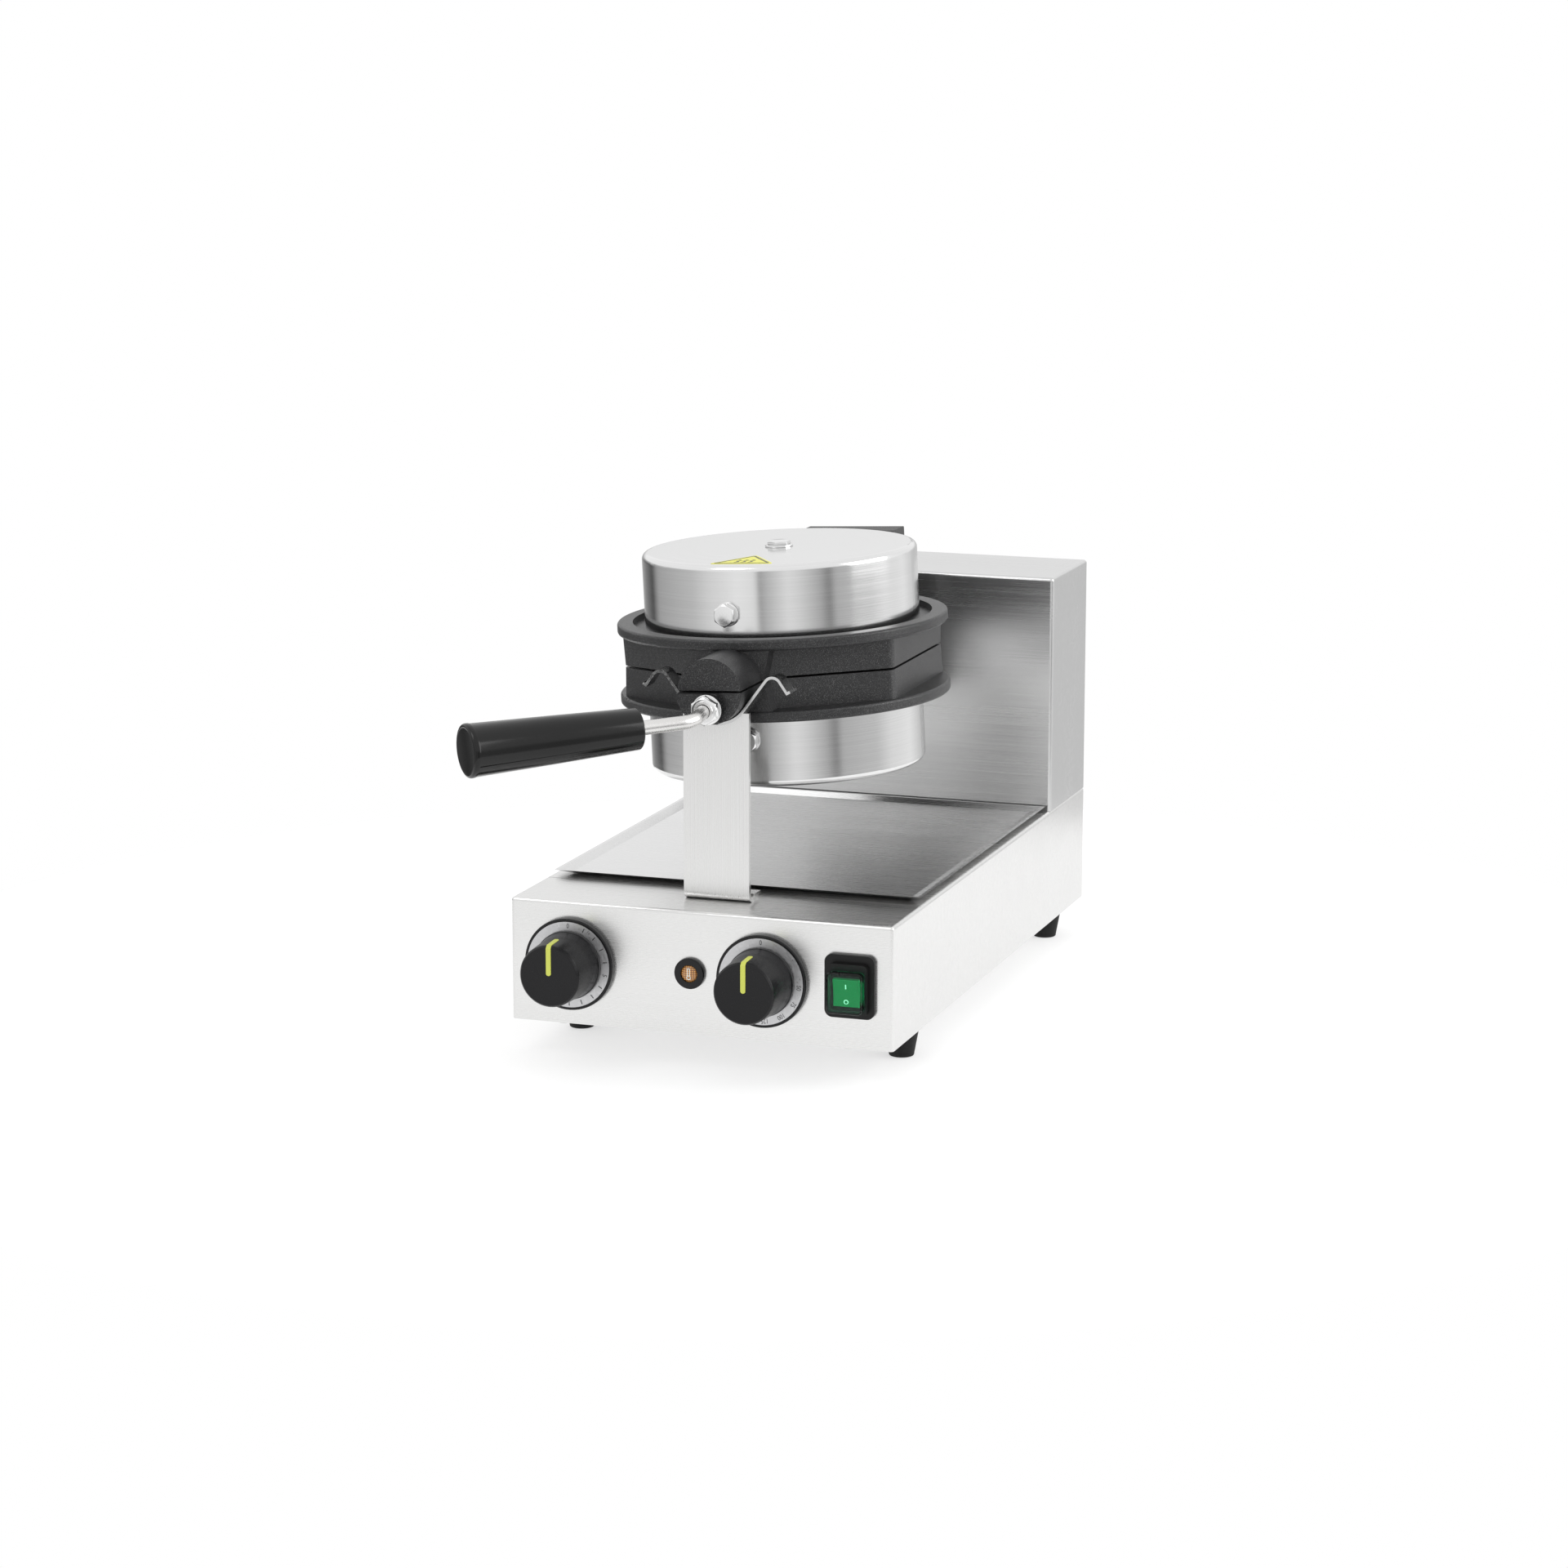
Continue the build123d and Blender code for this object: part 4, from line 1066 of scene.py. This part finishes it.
@dataclass
class Iron:
    """The two halves: castings, drums, bolts and the heat label."""

    drum_radius: float = 88.0
    drum_top: float = 70.0
    bolt_angle: float = -3.2
    bolt_height: float = 39.6
    label_turn: float = 3.5

    def half(self, shop: Workshop, side: str) -> Matrix:
        """Place of a half, its split at local Z 0 and its drum upwards."""
        over = Matrix.Rotation(math.pi, 4, "Y") if side == "lower" else Matrix.Identity(4)
        return shop.level @ over

    def make_cover_bolt(self, side: str) -> bpy.types.Object:
        """Hexagon head on a round washer, with its shank."""
        seat = Matrix.Translation((0, 0, (self.drum_top + 1.2) * MM))
        head = settle(hex_head(f"{side}_head", 13.0, 2.6), seat)
        washer = turned(
            f"{side}_washer",
            [(0, self.drum_top), (9.0, self.drum_top), (9.0, self.drum_top + 1.2), (0, self.drum_top + 1.2)],
            48,
        )
        ease_edges(washer, 0.3 * MM, 2)
        shank = turned(f"{side}_shank", [(0, 16), (4.0, 16), (4.0, 70.5), (0, 70.5)], 24)
        return joined(f"{side}_cover_bolt_hex", [head, washer, shank])

    def make_side_bolt(self, side: str) -> bpy.types.Object:
        """Radial bolt with a domed washer, shank and inner nut; local +Z points out of the drum."""
        r = self.drum_radius
        head = settle(hex_head(f"{side}_side_head", 13.0, 5.3), Matrix.Translation((0, 0, (r + 1.7) * MM)))
        ring = [(0, r + 0.3), (7.6, r + 0.3), (7.6, r + 1.7), (0, r + 1.7)]
        washer = turned(f"{side}_side_washer", ring, 40)
        ease_edges(washer, 0.3 * MM, 2)
        shank = turned(f"{side}_side_shank", [(0, 72), (4.0, 72), (4.0, r + 1), (0, r + 1)], 24)
        nut = settle(hex_head(f"{side}_side_nut", 13.0, 6.5), Matrix.Translation((0, 0, (r - 9.5) * MM)))
        return joined(f"{side}_side_bolt_hex", [head, washer, shank, nut])

    def make_label(self, place: Matrix) -> tuple[bpy.types.Object, bpy.types.Object]:
        """Plain three-cornered heat label: a yellow plate, and its border and three wavy strokes.

        Args:
            place: Its place on the drum's top.

        Returns:
            The plate and its print.
        """
        def triangle(name: str, size: float, corner: float) -> bpy.types.Object:
            leave_edit()
            bpy.ops.mesh.primitive_circle_add(vertices=3, radius=size * MM, fill_type="NGON")
            flat = named(name)
            bpy.ops.object.mode_set(mode="EDIT")
            bpy.ops.mesh.select_all(action="SELECT")
            bpy.ops.mesh.bevel(offset=corner * MM, segments=5, affect="VERTICES")
            leave_edit()
            return flat

        plate = triangle("heat_label_plate", 24.2, 3.2)
        apply_modifier(plate, "SOLIDIFY", thickness=0.18 * MM, offset=1.0)
        border = triangle("heat_label_print", 21.5, 2.0)
        choose(border, Select.FACE, lambda centre, normal: True)
        bpy.ops.mesh.inset(thickness=1.5 * MM)
        bpy.ops.mesh.delete(type="FACE")
        leave_edit()
        apply_modifier(border, "SOLIDIFY", thickness=0.08 * MM, offset=1.0)
        waves = []
        for number in (-1, 0, 1):
            leave_edit()
            bpy.ops.mesh.primitive_grid_add(
                x_subdivisions=1, y_subdivisions=14, size=MM, location=(number * 4.4 * MM, -1.8 * MM, 0)
            )
            wave = bpy.context.object
            wave.scale = (1.45, 10.6, 1.0)
            settle(wave)
            for vertex in wave.data.vertices:
                vertex.co.x += 0.95 * MM * math.sin(vertex.co.y / MM * 1.05)
            apply_modifier(wave, "SOLIDIFY", thickness=0.08 * MM, offset=1.0)
            waves.append(wave)
        ink = joined("heat_label_print", [border, *waves])
        settle(plate, place)
        settle(ink, place @ Matrix.Translation((0, 0, 0.19 * MM)))
        return plate, ink

    def build(self, shop: Workshop) -> None:
        """Dresses the castings and drums, and fits bolts and label."""
        skin = CastIron("iron_casting", (0.013, 0.013, 0.014), (0.24, 0.24, 0.24), 0.40, 0.00006)
        shop.dress(skin, "upper_baking_plate", "lower_baking_plate")
        drum = BrushedSteel(
            "drum_steel", (0.77, 0.77, 0.77), 0.14, Grain.AROUND, 0.05, centre=shop.level
        )
        for side in ("upper", "lower"):
            body = "upper_half" if side == "upper" else "turning_iron"
            half = self.half(shop, side)
            shop.dress(drum, f"{side}_drum_cover")
            top = settle(self.make_cover_bolt(side), half)
            shop.fit(top, PLATED, body, [f"{side}_cover_bolt"])
            out = Matrix.Translation((0, 0, self.bolt_height * MM))
            out = out @ Matrix.Rotation(math.radians(self.bolt_angle), 4, "Z")
            out = out @ Matrix.Rotation(math.pi / 2, 4, "X")
            bolt = settle(self.make_side_bolt(side), half @ out)
            shop.fit(bolt, PLATED, body, [f"{side}_side_bolt"])
        spot = Matrix.Translation((1.0 * MM, -66.5 * MM, self.drum_top * MM))
        label = shop.level @ spot @ Matrix.Rotation(math.radians(self.label_turn), 4, "Z")
        plate, ink = self.make_label(label)
        shop.fit(plate, LABEL_YELLOW, "upper_half")
        shop.fit(ink, LABEL_INK, "upper_half")


@dataclass
class Handle:
    """Bent rod, its nut and the tapered grip."""

    start: Vector = Vector((-25.6, -200.8, -12.8))
    end: Vector = Vector((-105.8, -277.3, -13.5))
    inner: float = 12.8
    outer: float = 16.5

    def make_grip(self) -> bpy.types.Object:
        """Turned grip with a rolled end and a let-in end face."""
        length = (self.end - self.start).length
        r = self.outer
        profile = [
            (4.46, 0),
            (self.inner - 0.9, 0),
            (self.inner, 0.9),
            (self.inner + (r - self.inner) * 0.5, length * 0.5),
            (r - 0.35, length - 4.5),
            (r, length - 3.4),
            (r, length - 1.6),
            (r - 0.6, length - 0.5),
            (r - 1.8, length),
            (r - 2.6, length - 0.35),
            (0, length - 0.55),
            (0, 64),
            (4.46, 64),
            (4.46, 0),
        ]
        grip = turned("handle_grip_turned", profile, 96)
        ease_edges(grip, 0.3 * MM, 2, 16)
        return grip

    def make_seam(self) -> bpy.types.Object:
        """Two thin raised mould lines along opposite sides of the grip."""
        length = (self.end - self.start).length
        lines = []
        for turn in (0.0, math.pi):
            slope = math.atan2(self.outer - self.inner, length)
            place = Matrix.Rotation(turn, 4, "Z") @ Matrix.Translation(
                ((self.inner + self.outer) / 2 * MM, 0, length * MM / 2)
            )
            bar = slab((0.34, 0.3, length - 6.5), place @ Matrix.Rotation(slope, 4, "Y"))
            ease_edges(bar, 0.1 * MM, 2)
            lines.append(bar)
        return joined("handle_grip_seam", lines)

    def make_nut(self) -> bpy.types.Object:
        """Nut and washer round the rod, in front of the boss."""
        nut = hex_head("rod_nut", 16.0, 7.5)
        bore = turned("cutter", [(0, -2), (4.7, -2), (4.7, 12), (0, 12)], 32)
        apply_modifier(nut, "BOOLEAN", operation="DIFFERENCE", object=bore, solver="EXACT")
        bpy.data.objects.remove(bore)
        washer = turned("rod_washer", [(4.7, -0.2), (9.4, -0.2), (9.4, 1.4), (4.7, 1.4), (4.7, -0.2)], 48)
        ease_edges(washer, 0.25 * MM, 2)
        lip = turned("rod_lip", [(4.7, 7.2), (6.6, 7.2), (6.2, 8.1), (4.7, 8.1), (4.7, 7.2)], 48)
        smooth(lip)
        return joined("handle_nut_hex", [nut, washer, lip])

    def build(self, shop: Workshop) -> None:
        """Builds and fits the handle."""
        shop.dress(SATIN_ROD, "handle_rod")
        along = (self.end - self.start).normalized()
        turn = along.to_track_quat("Z", "X").to_matrix().to_4x4()
        pivot = shop.level @ Matrix.Translation((0, -shop.level.translation.y, 0))
        place = pivot @ Matrix.Translation(self.start * MM) @ turn
        grip = settle(self.make_grip(), place)
        shop.fit(grip, GRIP_BLACK, "turning_iron", ["handle_grip"])
        seam = settle(self.make_seam(), place @ Matrix.Rotation(math.radians(60), 4, "Z"))
        shop.fit(seam, GRIP_BLACK, "turning_iron")
        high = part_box("handle_nut")[1]
        front = Matrix.Translation((0.3 * MM, high.y - 1.6 * MM, -10.0 * MM))
        nut = settle(self.make_nut(), pivot @ front @ Matrix.Rotation(math.pi / 2, 4, "X"))
        shop.fit(nut, PLATED, "turning_iron", ["handle_nut"])


def rest_place(frame: dict) -> Matrix:
    """Place of the level iron at rest: its pivot and its small tilt, read from the joints."""
    joints = {joint["name"]: joint for joint in frame["joints"]}
    pivot = Vector(joints["iron_rotation"]["pos_m"])
    axis = joints["iron_opening"]["axis"]
    tilt = math.atan2(axis[2], axis[0]) + math.pi
    return Matrix.Translation(pivot) @ Matrix.Rotation(-tilt, 4, "Y")


def main() -> None:
    """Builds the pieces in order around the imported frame."""
    logging.basicConfig(level=logging.INFO, format="%(message)s")
    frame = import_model()
    shop = Workshop(frame, Groups(), {}, rest_place(frame))
    minutes = [FIRST_MINUTE + MINUTE_STEP * step for step in range(12)]
    numbered = {0.0: "0", 101.8: "5", 198.3: "10"}
    ticks = [angle for angle in minutes if all(abs(angle - known) > 1 for known in numbered)]
    degrees = {0.0: "0"}
    degrees.update({FIRST_HEAT + HEAT_STEP * step: str(50 + 25 * step) for step in range(7)})
    parts = (
        Housing(),
        Works(),
        Control("timer", "timer_knob", numbered, ticks),
        Control("thermostat", "thermostat_knob", degrees, ()),
        PanelLamp(),
        PowerSwitch(),
        Iron(),
        Handle(),
    )
    for part in parts:
        part.build(shop)
        LOG.info("built %s", type(part).__name__)
    Studio().build(shop.groups)


if __name__ == "__main__":
    main()
